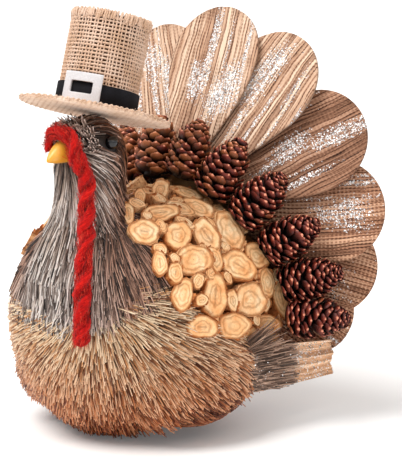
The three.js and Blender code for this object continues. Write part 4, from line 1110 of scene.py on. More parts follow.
@dataclass
class Studio:
    """The camera, the lamps, the floor and the white surround."""

    azimuth: float = 39
    elevation: float = 11
    distance: float = 1484
    aim: Place = (0, -74, 130)
    focal_px: float = 2073.8
    size_px: tuple[int, int] = (402, 461)
    centre_px: Span = (35.76, 7.2)
    sensor: float = 36
    floor_half: float = 6.0
    floor_glow: float = 0.08
    world_strength: float = 0.5
    lamps: tuple[Lamp, ...] = (
        Lamp("key", LampKind.SUN, (-0.45, -1.05, 1.9), 40.0, 3.1, "fffdfa"),
        Lamp("fill", LampKind.AREA, (1.4, -0.5, 1.7), 1.6, 11.0, "fff6ee"),
        Lamp("rim", LampKind.AREA, (0.2, 1.7, 1.6), 1.2, 10.0, "ffffff"),
    )

    def ray(self, x: float, y: float) -> tuple[Array, Array]:
        """Gives the line of sight through a pixel of the photograph.

        Args:
            x: Pixels from the left.
            y: Pixels from the top.

        Returns:
            The eye and the unit way, in the design's millimetres.
        """
        a, e = math.radians(self.azimuth), math.radians(self.elevation)
        back = np.array([math.sin(a) * math.cos(e), -math.cos(a) * math.cos(e), math.sin(e)])
        right = np.array([math.cos(a), math.sin(a), 0.0])
        up = np.cross(back, right)
        aside = self.centre_px[0] + x - self.size_px[0] / 2
        above = self.centre_px[1] - y + self.size_px[1] / 2
        eye = np.array(self.aim) + self.distance * back
        return eye, unit(-back * self.focal_px + right * aside + up * above)

    def camera(self) -> None:
        """Sets the camera where the photograph was taken from."""
        eye, look = self.ray(self.size_px[0] / 2, self.size_px[1] / 2)
        data = bpy.data.cameras.new("portrait")
        data.sensor_width = self.sensor
        data.lens = self.focal_px / self.size_px[1] * self.sensor
        data.clip_start, data.clip_end = 0.05, 20
        bpy.context.scene.camera = stand("portrait", data, Vector((eye + (0, SHIFT_Y, 0)) * MM), Vector(look))

    def surround(self) -> None:
        """Makes the white world, which lights the figure less than it shows."""
        world = bpy.data.worlds.new("white_surround")
        world.use_nodes = True
        tree = world.node_tree
        path = tree.nodes.new("ShaderNodeLightPath")
        seen = path.outputs["Is Camera Ray"]
        for kind in ("Is Glossy Ray", "Is Transmission Ray"):
            either = tree.nodes.new("ShaderNodeMath")
            either.operation = "MAXIMUM"
            tree.links.new(seen, either.inputs[0])
            tree.links.new(path.outputs[kind], either.inputs[1])
            seen = either.outputs[0]
        strength = tree.nodes.new("ShaderNodeMapRange")
        strength.inputs["To Min"].default_value = self.world_strength
        tree.links.new(seen, strength.inputs["Value"])
        ground = tree.nodes["Background"]
        ground.inputs["Color"].default_value = WHITE
        tree.links.new(strength.outputs["Result"], ground.inputs["Strength"])
        bpy.context.scene.world = world

    def floor(self) -> None:
        """Makes a wide white floor whose lit part reads as pure white."""
        half = self.floor_half
        mesh = bpy.data.meshes.new("floor")
        corners = [(-half, -half, 0), (half, -half, 0), (half, half, 0), (-half, half, 0)]
        mesh.from_pydata(corners, [], [(0, 1, 2, 3)])
        made = bpy.data.objects.new("floor", mesh)
        bpy.context.scene.collection.objects.link(made)
        graph = ShaderGraph("floor_white")
        seen = graph.node("ShaderNodeLightPath").outputs["Is Camera Ray"]
        mix = graph.node("ShaderNodeMixShader", Fac=graph.times(seen, self.floor_glow))
        graph.put(mix.inputs[1], graph.shader.outputs[0])
        graph.put(mix.inputs[2], graph.node("ShaderNodeEmission").outputs[0])
        graph.put(graph.tree.nodes["Material Output"].inputs["Surface"], mix.outputs[0])
        mesh.materials.append(graph.close((0.98, 0.98, 0.98, 1), 0.9, Specular_IOR_Level=0.0))

    def build(self) -> None:
        """Makes the camera, the light and the floor."""
        self.camera()
        for lamp in self.lamps:
            lamp.build()
        self.surround()
        self.floor()
        bpy.context.scene.view_settings.view_transform = "Standard"


@dataclass
class Straws:
    """One kind of straw: how long, how far lifted, how thick and how unruly it is."""

    length: Span
    lift: Span
    radius: Span
    spread: float
    height: Span = (1.4, 3.0)
    steps: int = 4
    tuft: int = 22
    hold: float = 1.0
    mix: float = 0.33
    tuft_turn: float = 0.75
    own_turn: float = 0.65
    tuft_length: Span = (0.88, 1.12)
    taper: float = 0.8
    sides: int = 3

    def tufts(self, rng: Rng, roots: Array) -> Array:
        """Sorts roots into tufts of neighbours.

        Args:
            rng: The random source.
            roots: Where the straws start.

        Returns:
            The number of each root's tuft.
        """
        seeds = roots[rng.integers(0, len(roots), max(1, len(roots) // self.tuft))]
        apart = np.sum(seeds**2, axis=1)[None] - 2 * roots @ seeds.T
        return np.argmin(apart, axis=1)

    def paths(
        self, rng: Rng, roots: Array, ways: Array, tuft: Array,
        ruffle: Values = 0.0
    ) -> tuple[Array, Array]:
        """Lays straws along the bird, tuft by tuft.

        Args:
            rng: The random source.
            roots: Where they start.
            ways: Which way they are combed, along the surface.
            tuft: The number of each root's tuft.
            ruffle: How much more each may be lifted, in degrees.

        Returns:
            Paths and radii.
        """
        count, groups = len(roots), int(tuft.max()) + 1
        turn = rng.normal(0, self.tuft_turn, groups)[tuft] + rng.normal(0, self.own_turn, count)
        ways = turn_about(ways, BODY.normal(roots), turn * math.radians(self.spread))
        length = rng.uniform(*self.length, count) * rng.uniform(*self.tuft_length, groups)[tuft]
        rise = np.tan(np.radians(rng.uniform(*self.lift, count) + ruffle * rng.uniform(0, 1, count))) * length
        start = rng.uniform(*self.height, count)
        steps = [BODY.settle(roots, start)]
        for i in range(1, self.steps):
            ahead = steps[-1] + ways * (length / (self.steps - 1))[:, None]
            off = BODY.gap(ahead) - start - rise * i / (self.steps - 1)
            placed = ahead - BODY.normal(ahead) * (off * np.where(off > 0, self.hold, 1.0))[:, None]
            ways = unit(placed - steps[-1])
            steps.append(placed)
        base = rng.uniform(*self.radius, count)[:, None]
        return np.stack(steps, axis=1), base * np.linspace(1.0, self.taper, self.steps)[None]

    def gather(
        self, sheaf: Sheaf, rng: Rng, paths: Array, radius: Values,
        tone: Values = 0.5, tint: Values = 0.0
    ) -> None:
        """Adds straws to a piece.

        Args:
            sheaf: The piece.
            rng: The random source.
            paths: Their paths.
            radius: Their radii.
            tone: How pale each is on the whole, from 0 to 1.
            tint: How strongly each takes the tint, from 0 to 1.
        """
        count, steps = paths.shape[:2]
        points, faces = tubes(paths, radius, self.sides, rng.uniform(*ANY_ROLL, count))
        tones = np.clip(rng.normal(0, self.mix, count) + tone, 0, 1)
        tints = np.broadcast_to(np.asarray(tint, float), (count,))
        along = np.tile(np.repeat(np.linspace(0, 1, steps), self.sides), count)
        each = steps * self.sides
        sheaf.add(points, faces[:2], tone=np.repeat(tones, each), tint=np.repeat(tints, each), along=along)


def combed(
    points: Array, normals: Array, source: Array, fall: float = 0.0, cling: Values = 1.0
) -> Array:
    """Combs straws along a surface, away from a point and a little downwards.

    Args:
        points: Roots on the surface.
        normals: The way out at each.
        source: The point that they are combed away from.
        fall: How much downward pull is added.
        cling: How closely each follows the surface, up to 1.

    Returns:
        Unit ways along the surface.
    """
    away = unit(points - source) + np.array([0.0, 0.0, -fall])
    return unit(away - normals * (np.sum(away * normals, axis=-1) * cling)[..., None])


def trimmed(paths: Array, share: Array) -> Array:
    """Cuts paths short.

    Args:
        paths: Points, by path and place along it.
        share: How much of its length each path keeps.

    Returns:
        Paths of as many points.
    """
    last = paths.shape[1] - 1
    at = np.linspace(0, last, last + 1)[None] * share[:, None]
    low = np.minimum(at.astype(int), last - 1)
    part = (at - low)[..., None]
    pick = np.arange(len(paths))[:, None]
    return paths[pick, low] * (1 - part) + paths[pick, low + 1] * part


@dataclass
class BreastCoat:
    """Tan straws over the breast, the belly, the flanks and the roots of the wings, with a dark bed below
    them that paints the shade between them.
    """

    count: int = 17500
    tuft_count: int = 3600
    straws: Straws = field(default_factory=lambda: Straws(
        (12, 20), (3, 11), (0.42, 0.58), 6, (0.6, 3.0), 3, 14, hold=0.25, mix=0.35
    ))
    source: Place = (26, -176, 106)
    finish: StrawFinish = StrawFinish("tan_straw", "7c4420", "dda066", "ffe6c4", "e8985e")
    crowding: float = 1.15
    lap: float = 1.5
    bed_lap: float = 6.0
    bed_rise: float = 0.8
    bed_floor: float = 1.6
    front_y: float = -150
    loose_rise: float = 6
    under_rise: float = 2.2
    cut: Span = (0.5, 2.4)
    floor: float = 0.7
    shortest: float = 0.2
    rng: Rng = field(default_factory=lambda: seeded(0))

    def inside(self, points: Array, margin: float) -> Array:
        """Tells which points of the body are in the tan coat.

        Args:
            points: Points on the body.
            margin: How far the coat runs under its neighbours.

        Returns:
            True for each point in the coat.
        """
        below = points[:, 2] < BODY.flank_edge(points[:, 1]) + margin
        ahead = points[:, 1] < BODY.tail_start(points) - 2
        return below & ahead & ~BODY.in_collar(points, 14 + margin) & (points[:, 2] > 0.8)

    def bed(self, sheaf: Sheaf) -> None:
        """Adds the dark bed that the straws stand in: painted shade between the straws.

        Args:
            sheaf: The piece.
        """
        nose = BODY.middle_y - BODY.nose
        ahead = nose + 78 * (1 - np.cos(np.linspace(0.12, 1.57, 14)))
        y = np.concatenate([ahead, np.linspace(-112, -10, 22)])
        places = np.meshgrid(y, circle(72), indexing="ij")
        points = BODY.settle(BODY.point(*places, 0.0).reshape(-1, 3), self.bed_rise)
        points[:, 2] = np.maximum(points[:, 2], self.bed_floor)
        faces = grid_faces(*places[0].shape, closed=True)
        keep = self.inside(points[faces].mean(axis=1), self.bed_lap)
        # Painted shade: the bed takes a dark tone and the darkened root shade of the straw finish.
        sheaf.add(points, [faces[keep]], tone=0.1, along=0.3, tint=0.5)
        rows, columns = 17, 28
        for side in (Side.LEFT, Side.RIGHT):
            points = BODY.tuft_point(unit_ball(rows, columns), side)
            # The balls under the tufts are dark too, as painted shade between the straws.
            sheaf.add(points, [grid_faces(rows, columns, closed=True)], tone=0.2, along=0.4, tint=0.5)

    def roots(self) -> Array:
        """Scatters roots over the body and over the tufts at the wings.

        Returns:
            The roots, on the bare bird.
        """
        long = BODY.nose + BODY.rear - 14
        y = BODY.middle_y - BODY.nose + long * self.rng.uniform(0, 1, self.count * 4) ** self.crowding
        body = BODY.point(y, self.rng.uniform(0, FULL_TURN, len(y)), 0.0)
        out = unit(self.rng.normal(0, 1, (self.tuft_count, 3)))
        more = BODY.tuft_point(out, self.rng.choice([-1.0, 1.0], self.tuft_count))
        more = more[self.inside(more, self.lap) & (BODY.body_gap(more) > -1)]
        return BODY.settle(np.concatenate([body[self.inside(body, self.lap)][: self.count], more]), 0.0)

    def lay(self, roots: Array, tuft: Array) -> tuple[Array, Array, Array]:
        """Lays the straws, flat under the belly and cut off above the ground.

        Args:
            roots: Where they start.
            tuft: The number of each root's tuft.

        Returns:
            Paths, radii and which straws are kept.
        """
        front = roots[:, 1] < self.front_y
        free = np.clip(np.maximum((roots[:, 2] - 30) / 40, (roots[:, 1] - self.front_y) / 30), 0, 1)
        facing = BODY.normal(roots)
        ways = combed(roots, facing, np.array(self.source), cling=0.6 + 0.4 * free)
        paths, radius = self.straws.paths(self.rng, roots, ways, tuft)
        under = ((facing[:, 2] < -0.2) | (facing[:, 1] > 0.5)) & ~front & (roots[:, 2] < 60)
        rise = self.rng.uniform(0.5, 1.5, (under.sum(), 1))
        paths[under] = BODY.settle(BODY.settle(paths[under], 1.2), rise)
        low = self.rng.uniform(*self.cut, len(paths))
        drop = np.maximum(paths[:, 0, 2] - paths[:, -1, 2], 1e-6)
        share = np.where(paths[:, -1, 2] < low, (paths[:, 0, 2] - low) / drop, 1.0)
        paths = trimmed(paths, np.clip(share, 0.0, 1.0))
        paths[..., 2] = np.maximum(paths[..., 2], self.floor)
        keep = (share > self.shortest) & ((BODY.gap(paths[:, -1]) < self.loose_rise) | front)
        height = np.minimum(BODY.body_gap(paths), BODY.tuft_gap(paths)).max(axis=1)
        return paths, radius, keep & (~under | (height < self.under_rise))

    def build(self) -> None:
        """Makes the coat in three pieces: the breast and the two tufts."""
        roots = self.roots()
        tuft = self.straws.tufts(self.rng, roots)
        paths, radius, keep = self.lay(roots, tuft)
        shift = self.rng.normal(0, 0.07, int(tuft.max()) + 1)[tuft]
        # Painted light: straws higher on the body get a paler tone, as the top of the coat faces the light;
        # the tuft shift is their own random tone.
        tone = 0.47 + 0.32 * np.clip(roots[:, 2] / 90, 0, 1) + shift
        tint = np.clip(1 - roots[:, 2] / 95, 0, 1)
        material = self.finish.material()
        region = np.where(BODY.tuft_gap(roots) < 2, np.sign(roots[:, 0]), 0)
        for side in (Side.MIDDLE, Side.LEFT, Side.RIGHT):
            sheaf = Sheaf(f"flank_straw_{side.label}" if side else "breast_straw")
            if side is Side.MIDDLE:
                self.bed(sheaf)
            part = keep & (region == side)
            self.straws.gather(sheaf, self.rng, paths[part], radius[part], tone[part], tint[part])
            show(sheaf.piece([material]), "tan_straw", *([] if side else ["breast_coat"]))


@dataclass
class NeckCoat:
    """Grey straws over the neck, the head and the collar."""

    count: int = 8000
    skirt_count: int = 5200
    brow_count: int = 650
    straws: Straws = field(default_factory=lambda: Straws(
        (20, 33), (0.5, 5), (0.33, 0.52), 6, (0.4, 2.2), mix=0.4
    ))
    skirt: Straws = field(default_factory=lambda: Straws(
        (20, 34), (1, 6), (0.36, 0.56), 7, (0.8, 3.2), hold=0.7, mix=0.4
    ))
    finish: StrawFinish = StrawFinish("grey_straw", "2e231f", "a3938b", "fbf2ec", "c98d66")
    bed_rise: float = 0.6
    brow_radius: float = 0.38
    brow_length: Span = (6, 11)
    eye_clear: float = 5.9
    beak_clear: float = 8.0
    eye_turn: float = 88
    eye_rise: float = 19
    eye_sink: float = 0.8
    ruffle: float = 17
    shortest: float = 0.25
    rng: Rng = field(default_factory=lambda: seeded(1))

    def eye(self, side: float) -> Array:
        """Gives the middle of one eye.

        Args:
            side: 1 for the left eye, -1 for the right.

        Returns:
            The point.
        """
        turn, rise = math.radians(self.eye_turn), math.radians(self.eye_rise)
        out = BODY.head_radius + BODY.coat - self.eye_sink
        flat = out * math.cos(rise)
        return BODY.head() + (side * flat * math.sin(turn), -flat * math.cos(turn), out * math.sin(rise))

    def bed(self, sheaf: Sheaf) -> None:
        """Adds the dark bed under the straws: painted shade between the straws.

        Args:
            sheaf: The piece.
        """
        height, turn = np.meshgrid(np.linspace(106, 225.5, 34), circle(48), indexing="ij")
        radius = np.maximum(BODY.neck_radius(height) + self.bed_rise, 0.4)
        points = around(radius, turn, height) + (0, NECK_AXIS_Y, 0)
        # Painted shade: the neck's bed is dark, for the gaps between the straws.
        sheaf.add(points, [grid_faces(*turn.shape, closed=True)], tone=0.05, along=0.3, tint=0.6)
        y = np.linspace(BODY.middle_y - BODY.nose + 0.4, BODY.collar_rear - 1, 22)
        places = np.meshgrid(y, np.linspace(-1.75, 1.75, 60), indexing="ij")
        skirt = BODY.settle(BODY.point(*places, 0.0), self.bed_rise + 0.5).reshape(-1, 3)
        faces = grid_faces(*places[0].shape)
        keep = BODY.in_collar(skirt[faces].mean(axis=1), 6)
        # Painted shade: the skirt's bed is dark as well.
        sheaf.add(skirt, [faces[keep]], tone=0.05, along=0.3, tint=0.3)

    def roots(self) -> Array:
        """Scatters roots over the turned neck and head, where they stand clear of the body.

        Returns:
            The roots.
        """
        height = self.rng.uniform(112, 224, self.count * 4)
        radius = BODY.neck_radius(height)
        kept = self.rng.uniform(0, 44, len(height)) < np.maximum(radius, 15)
        height, radius = height[kept], radius[kept]
        turn = self.rng.uniform(0, FULL_TURN, len(height))
        points = around(radius, turn, height) + (0, NECK_AXIS_Y, 0)
        behind = points[:, 1] > BODY.collar_rear - 6
        return points[BODY.body_gap(points) > np.where(behind, 6, -8)][: self.count]

    def skirt_roots(self) -> Array:
        """Scatters roots over the collar on the breast.

        Returns:
            The roots.
        """
        y = self.rng.uniform(BODY.middle_y - BODY.nose + 0.2, BODY.collar_rear, self.skirt_count * 8)
        points = BODY.point(y, self.rng.uniform(-1.8, 1.8, len(y)), 0.0)
        return points[BODY.in_collar(points, 12)][: self.skirt_count]

    def brow(self) -> Array:
        """Gives the paths of the short straws that stand out round the beak.

        Returns:
            The paths.
        """
        count = self.brow_count
        lean = np.radians(self.rng.uniform(24, 66, count))
        turn = self.rng.uniform(0.1, math.pi - 0.1, count)
        out = np.stack([np.sin(lean) * np.cos(turn), -np.cos(lean), np.sin(lean) * np.sin(turn)], axis=-1)
        way = unit(out * 0.75 + (0.0, -0.42, 0.1) + self.rng.normal(0, 0.13, (count, 3)))
        length = self.rng.uniform(*self.brow_length, count)[:, None, None]
        start = (BODY.head() + out * BODY.head_radius)[:, None]
        return self.pressed(start + way[:, None] * length * np.linspace(0, 1, 4)[:, None])

    def clear(self, paths: Array) -> Array:
        """Tells which straws keep clear of the eyes and the beak.

        Args:
            paths: The straws' paths.

        Returns:
            True for each straw that is kept.
        """
        fine = np.concatenate([paths, (paths[:, :-1] + paths[:, 1:]) / 2], axis=1)
        beak = np.array([0.0, NECK_AXIS_Y - BODY.head_radius - 6, BODY.beak_height])
        spots = [(self.eye(side), self.eye_clear) for side in (Side.RIGHT, Side.LEFT)]
        spots.append((beak, self.beak_clear))
        return np.all([np.linalg.norm(fine - spot, axis=-1).min(axis=1) > gap for spot, gap in spots], axis=0)

    def side_brown_and_shade(self, points: Array) -> Array:
        """Gives how brown the straws are, which they are at the sides and the rear: partly their own brown,
        partly painted shade on the side turned from the light.
        """
        turn = np.arctan2(np.abs(points[:, 0]), NECK_AXIS_Y - points[:, 1])
        return 0.75 * np.clip((turn - 0.5) / 0.7, 0, 1)

    def pressed(self, paths: Array) -> Array:
        """Presses straws down under the hat's brim.

        Args:
            paths: The straws' paths.

        Returns:
            The pressed paths.
        """
        origin, up, _ = BODY.hat_frame()
        over = np.maximum(0, (paths - origin) @ up + 0.5)
        return paths - over[..., None] * up

    def neck(self, material: Material) -> None:
        """Makes the coat of the neck and the head.

        Args:
            material: The grey straw.
        """
        sheaf = Sheaf("neck_straw")
        self.bed(sheaf)
        beak = np.array([0.0, NECK_AXIS_Y - BODY.head_radius, BODY.beak_height])
        roots = self.roots()
        ways = combed(roots, BODY.normal(roots), beak, 0.5)
        tuft = self.straws.tufts(self.rng, roots)
        behind = np.clip((roots[:, 1] - NECK_AXIS_Y) / 14, 0, 1) * np.clip((roots[:, 2] - 172) / 16, 0, 1)
        paths, radius = self.straws.paths(self.rng, roots, ways, tuft, self.ruffle * behind)
        paths = self.pressed(paths)
        keep = self.clear(paths) & (paths[:, -1, 1] < BODY.collar_rear + 40)
        brown = np.clip((roots[:, 2] - 204) / 14, 0, 1) * self.rng.uniform(0.2, 1.0, len(roots))
        throat = np.exp(-np.sum(((roots - (6, NECK_AXIS_Y - 20, 186)) / (16, 12, 14)) ** 2, axis=1))
        shift = self.rng.normal(0, 0.06, int(tuft.max()) + 1)[tuft]
        tone = 0.5 + 0.4 * throat - 0.12 * brown + shift
        # The sides and rear are browner, partly the straws' own brown and partly painted shade.
        brown = np.clip(brown + self.side_brown_and_shade(roots), 0, 1)
        self.straws.gather(sheaf, self.rng, paths[keep], radius[keep], tone[keep], brown[keep])
        brow = self.brow()
        # Painted light: the brow straws get a pale tone that lifts them out of the hat's shadow.
        self.straws.gather(sheaf, self.rng, brow[self.clear(brow)], self.brow_radius, 0.8, 0.3)
        show(sheaf.piece([material]), "grey_straw", "neck_coat")

    def collar(self, material: Material) -> None:
        """Makes the skirt over the collar, cut off along its edge.

        Args:
            material: The grey straw.
        """
        roots = self.skirt_roots()
        ways = combed(roots, BODY.normal(roots), np.array([0.0, NECK_AXIS_Y + 4, 175.0]))
        tuft = self.skirt.tufts(self.rng, roots)
        paths, radius = self.skirt.paths(self.rng, roots, ways, tuft)
        near, far = BODY.from_collar(paths[:, 0]), BODY.from_collar(paths[:, -1])
        limit = BODY.collar_radius + self.rng.uniform(-6, 2, len(paths))
        limit = limit + self.rng.normal(0, 1.5, int(tuft.max()) + 1)[tuft]
        share = np.where(far > limit, (limit - near) / np.maximum(far - near, 1e-6), 1.0)
        behind = paths[:, :, 1].max(axis=1) > BODY.collar_rear + self.rng.uniform(-8, 8, len(paths))
        keep = (share > self.shortest) & ~behind
        paths = trimmed(paths, np.clip(share, 0, 1))[keep]
        brown_and_shade = self.side_brown_and_shade(paths[:, 0])
        sheaf = Sheaf("collar_straw")
        # The collar's sides and rear are darker and browner, partly painted shade.
        self.skirt.gather(sheaf, self.rng, paths, radius[keep], 0.6 - 0.14 * brown_and_shade, brown_and_shade)
        show(sheaf.piece([material]), "grey_straw")

    def build(self) -> None:
        """Makes the coat of the neck and the skirt over the collar."""
        material = self.finish.material()
        self.neck(material)
        self.collar(material)


class Spot(NamedTuple):
    """Where one slice lies in the photograph: middle, length and breadth in pixels, and turn in degrees."""

    x: float
    y: float
    length: float
    breadth: float
    turn: float


@dataclass
class Slab:
    """One slice: the middle of its face, the way out of it, and its half length and half breadth."""

    middle: Array
    normal: Array
    long: Array
    short: Array

    def size(self) -> float:
        """Gives the mean half width."""
        return math.sqrt(np.linalg.norm(self.long) * np.linalg.norm(self.short))

    def mirrored(self) -> "Slab":
        """Gives the same slice on the bird's other side."""
        flip = np.array([-1.0, 1.0, 1.0])
        return Slab(self.middle * flip, self.normal * flip, self.long * flip, self.short * flip)

    def fitted(self) -> "Slab | None":
        """Gives the slice, shrunk until it stays before the fan, or None.

        Returns:
            The slice that fits, or None.
        """
        turn = np.linspace(0, FULL_TURN, 13)[:, None]
        for share in (1.0, 0.8, 0.6):
            flat = (np.cos(turn) * self.long + np.sin(turn) * self.short) * share * 1.1
            corners = np.concatenate([self.middle + flat - level * self.normal for level in (0.0, 5.0, 10.0)])
            if np.all(corners[:, 1] < BODY.tail_start(corners) - 3.0):
                return Slab(self.middle, self.normal, self.long * share, self.short * share)
        return None

    def clear(self, middle: Array, size: float, share: float) -> bool:
        """Tells whether another slice has room beside this one.

        Args:
            middle: The middle of the other one's face.
            size: Its mean half width.
            share: How much of the two sizes must lie between the middles.

        Returns:
            True where it has.
        """
        return np.linalg.norm(self.middle - middle) >= (self.size() + size) * share


@dataclass
class TwigSlices:
    """Sawn twig slices packed over the back: the seen side, its mirror image, and the rest filled in."""

    seen: tuple[Spot, ...] = tuple(Spot(*row) for row in (
        (146.5, 181.5, 35, 9, -13), (187, 181.5, 33, 10, 2), (140, 197, 19, 12, 95),
        (160.6, 189.5, 22, 18, 100), (128.5, 213, 23, 12, 80), (215.5, 197, 31, 18, 22),
        (198, 207.5, 39, 16, 22), (160.5, 212.5, 43, 17, -7), (243.6, 213.5, 34, 14, 33),
        (144.5, 231.5, 34, 24, 8), (178.5, 235, 31, 27, 100), (206.5, 235, 36, 24, 52),
        (229.7, 231, 45, 25, 62), (261.5, 234, 34, 25, 42), (193.5, 260, 45, 32, 0),
        (238.5, 265.5, 47, 26, 30), (257, 256, 30, 23, 50), (283, 260, 35, 24, 55),
        (160, 263, 27, 15, 84), (182.5, 294.5, 34, 22, 95), (215.2, 296, 46, 26, 93),
        (250.5, 300, 43, 34, 8), (281.5, 297, 40, 17, 78), (296, 307, 46, 9, 90),
        (202.4, 327, 32, 24, 0), (234, 326, 33, 28, 0), (267, 324, 31, 18, 10),
        (288, 326, 19, 17, 60),
    ))
    sizes: tuple[float, ...] = (12.4, 11.2, 10.2, 9.2, 8.2, 7.0, 6.0, 5.0, 4.2)
    tries: int = 2600
    rise: Span = (6.6, 9.2)
    lean: float = 0.3
    edge_lean: float = 0.06
    edge_breadth: float = 10
    half_limit: float = 15.5
    mirror_share: float = 0.7
    aspect: Span = (1.1, 1.5)
    sunk: float = 2.5
    sides: int = 32
    wobbles: tuple[tuple[int, float], ...] = ((2, 0.04), (3, 0.05), (5, 0.035), (8, 0.02))
    # The second number of each bark ring is its level down the side; the bark's painted shade darkens the
    # lower levels.
    bark_rings: tuple[Span, ...] = ((0.96, 0.0), (1.0, 0.45), (1.0, 0.9), (0.965, 1.0))
    face_shares: tuple[float, ...] = (0.965, 0.84, 0.66, 0.5, 0.34, 0.18, 0.02)
    bevel: float = 0.12
    ring: Span = (0.45, 0.72)
    shred_count: int = 16
    rng: Rng = field(default_factory=lambda: seeded(2))

    def inside(self, points: Array) -> Array:
        """Tells which points of the body carry slices.

        Args:
            points: Points on the body.

        Returns:
            True for each point that does.
        """
        above = points[:, 2] > BODY.flank_edge(points[:, 1]) + 1.5
        ahead = points[:, 1] < BODY.tail_start(points) - 7
        return above & ahead & ~BODY.in_collar(points, -2) & (BODY.neck_gap(points) > 6)

    def seen_slab(self, spot: Spot) -> Slab:
        """Sets one photographed slice on the body.

        Args:
            spot: Where it lies in the photograph.

        Returns:
            The slice.
        """
        studio = Studio()
        eye, sight = studio.ray(spot.x, spot.y)
        rise = self.rng.uniform(*self.rise)
        line = eye + np.arange(1250, 1800, 0.5)[:, None] * sight
        gaps = BODY.body_gap(line) - rise
        hit = int(np.argmax(gaps < 0)) if np.any(gaps < 0) else int(np.argmin(gaps))
        out = BODY.normal(line[hit], BODY.body_gap)
        middle = line[hit] - out * gaps[hit]
        lean = self.lean if spot.breadth > self.edge_breadth else self.edge_lean
        normal = unit(out * (1 - lean) - sight * lean + self.rng.normal(0, 0.05, 3))
        halves = []
        for size, turn in ((spot.length, spot.turn), (spot.breadth, spot.turn + 90)):
            angle = math.radians(turn)
            start, way = studio.ray(spot.x + size / 2 * math.cos(angle), spot.y + size / 2 * math.sin(angle))
            reach = start + way * ((middle - eye) @ normal) / (way @ normal) - middle
            halves.append(reach * min(1.0, self.half_limit / np.linalg.norm(reach)))
        return Slab(middle, normal, *halves)

    def fill(self, slabs: list[Slab]) -> None:
        """Fills the room that is left between the slices so far, largest first.

        Args:
            slabs: The slices so far, which grow.
        """
        for size in self.sizes:
            y = self.rng.uniform(-178, -18, self.tries)
            tried = BODY.point(y, self.rng.uniform(-2.2, 2.2, self.tries), 0.0)
            tried = tried[self.inside(tried)]
            for point, out in zip(tried, BODY.normal(tried, BODY.body_gap)):
                middle = point + out * self.rng.uniform(*self.rise)
                if not all(slab.clear(middle, size, 0.9 if size > 5.5 else 0.84) for slab in slabs):
                    continue
                normal = unit(out + self.rng.normal(0, 0.09, 3))
                helper = turn_about(np.array([0.0, 1.0, 0.0]), normal, self.rng.uniform(0, math.pi))
                wide = unit(helper - normal * (helper @ normal))
                aspect = math.sqrt(self.rng.uniform(*self.aspect))
                short = np.cross(normal, wide) * size / aspect
                slabs.append(Slab(middle, normal, wide * size * aspect, short))

    def slice(self, sheaf: Sheaf, slab: Slab) -> None:
        """Adds one slice.

        Args:
            sheaf: The piece.
            slab: Where it lies.
        """
        middle, normal = slab.middle, slab.normal
        short = slab.short if np.cross(slab.long, slab.short) @ normal >= 0 else -slab.short
        turn = circle(self.sides)
        wobble = 1 + sum(a * np.sin(n * turn + self.rng.uniform(*ANY_PHASE)) for n, a in self.wobbles)
        flat = (np.cos(turn)[:, None] * slab.long + np.sin(turn)[:, None] * short) * wobble[:, None]
        out = BODY.normal(middle, BODY.body_gap)
        depth = (BODY.body_gap(middle) + self.sunk) / max(0.5, float(normal @ out))
        # Painted light: the tone rises with height, so the slices on top of the back are paler; the rest is
        # random.
        tone = float(np.clip(self.rng.normal(0.6, 0.25) + (middle[2] - 110) / 160, 0, 1))
        drops = (depth, depth * 0.5, 0.7, self.bevel)
        side = [middle + flat * share - drop * normal for (share, _), drop in zip(self.bark_rings, drops)]
        level = np.repeat([level for _, level in self.bark_rings], self.sides)
        faces = grid_faces(len(side), self.sides, closed=True)
        sheaf.add(np.concatenate(side), [faces], slot=1, rim=level, ring=0.0, crack=1.0, tone=tone)
        self.shreds(sheaf, slab, flat, 0.8 * tone)
        shares = np.array(self.face_shares)
        top = [middle + flat * share + (0 if share < 0.9 else -self.bevel) * normal for share in shares]
        along, aside = np.outer(shares, np.cos(turn)).ravel(), np.outer(shares, np.sin(turn)).ravel()
        crack = np.hypot(np.maximum(0, np.abs(along) - self.rng.uniform(0.2, 0.5)), aside * 0.6)
        crack = crack + self.rng.choice([0.0, 1.0])
        sheaf.add(
            np.concatenate(top), [grid_faces(len(shares), self.sides, closed=True)],
            rim=np.repeat(shares / shares[0], self.sides), ring=self.rng.uniform(*self.ring), crack=crack,
            tone=tone
        )

    def shreds(self, sheaf: Sheaf, slab: Slab, flat: Array, tone: float) -> None:
        """Adds the torn bark round one slice's rim.

        Args:
            sheaf: The piece.
            slab: Where the slice lies.
            flat: Its outline, from the middle.
            tone: How pale the bark is.
        """
        each = (self.shred_count, 1)
        picked = self.rng.integers(0, self.sides, self.shred_count)
        foot = slab.middle + flat[picked] - slab.normal * self.rng.uniform(0.3, 1.6, each)
        along = unit(np.roll(flat, -1, axis=0) - np.roll(flat, 1, axis=0))
        side = along[picked] * self.rng.uniform(0.8, 2.2, each)
        rise = slab.normal * self.rng.uniform(0.5, 1.1, each)
        rise = rise + unit(flat[picked]) * self.rng.uniform(0.1, 0.9, each)
        rise = rise * self.rng.uniform(0.7, 1.7, each)
        corners = [foot - side, foot + side, foot + 0.7 * side + rise, foot - 0.7 * side + rise * 0.8]
        faces = np.arange(4 * self.shred_count).reshape(-1, 4)
        sheaf.add(np.stack(corners, axis=1), [faces], slot=1, rim=0.7, ring=0.0, crack=1.0, tone=tone)

    def build(self) -> None:
        """Makes all slices."""
        slabs = [self.seen_slab(spot) for spot in self.seen]
        for slab in list(slabs):
            twin = slab.mirrored()
            if all(other.clear(twin.middle, slab.size(), self.mirror_share) for other in slabs):
                slabs.append(twin)
        self.fill(slabs)
        sheaf = Sheaf("twig_slices")
        for slab in filter(None, [slab.fitted() for slab in slabs]):
            self.slice(sheaf, slab)
        finish = SliceFinish()
        nodes = [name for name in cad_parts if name.startswith("slice_row")]
        show(sheaf.piece([finish.face(), finish.side()], smooth=False), "twig", *nodes)


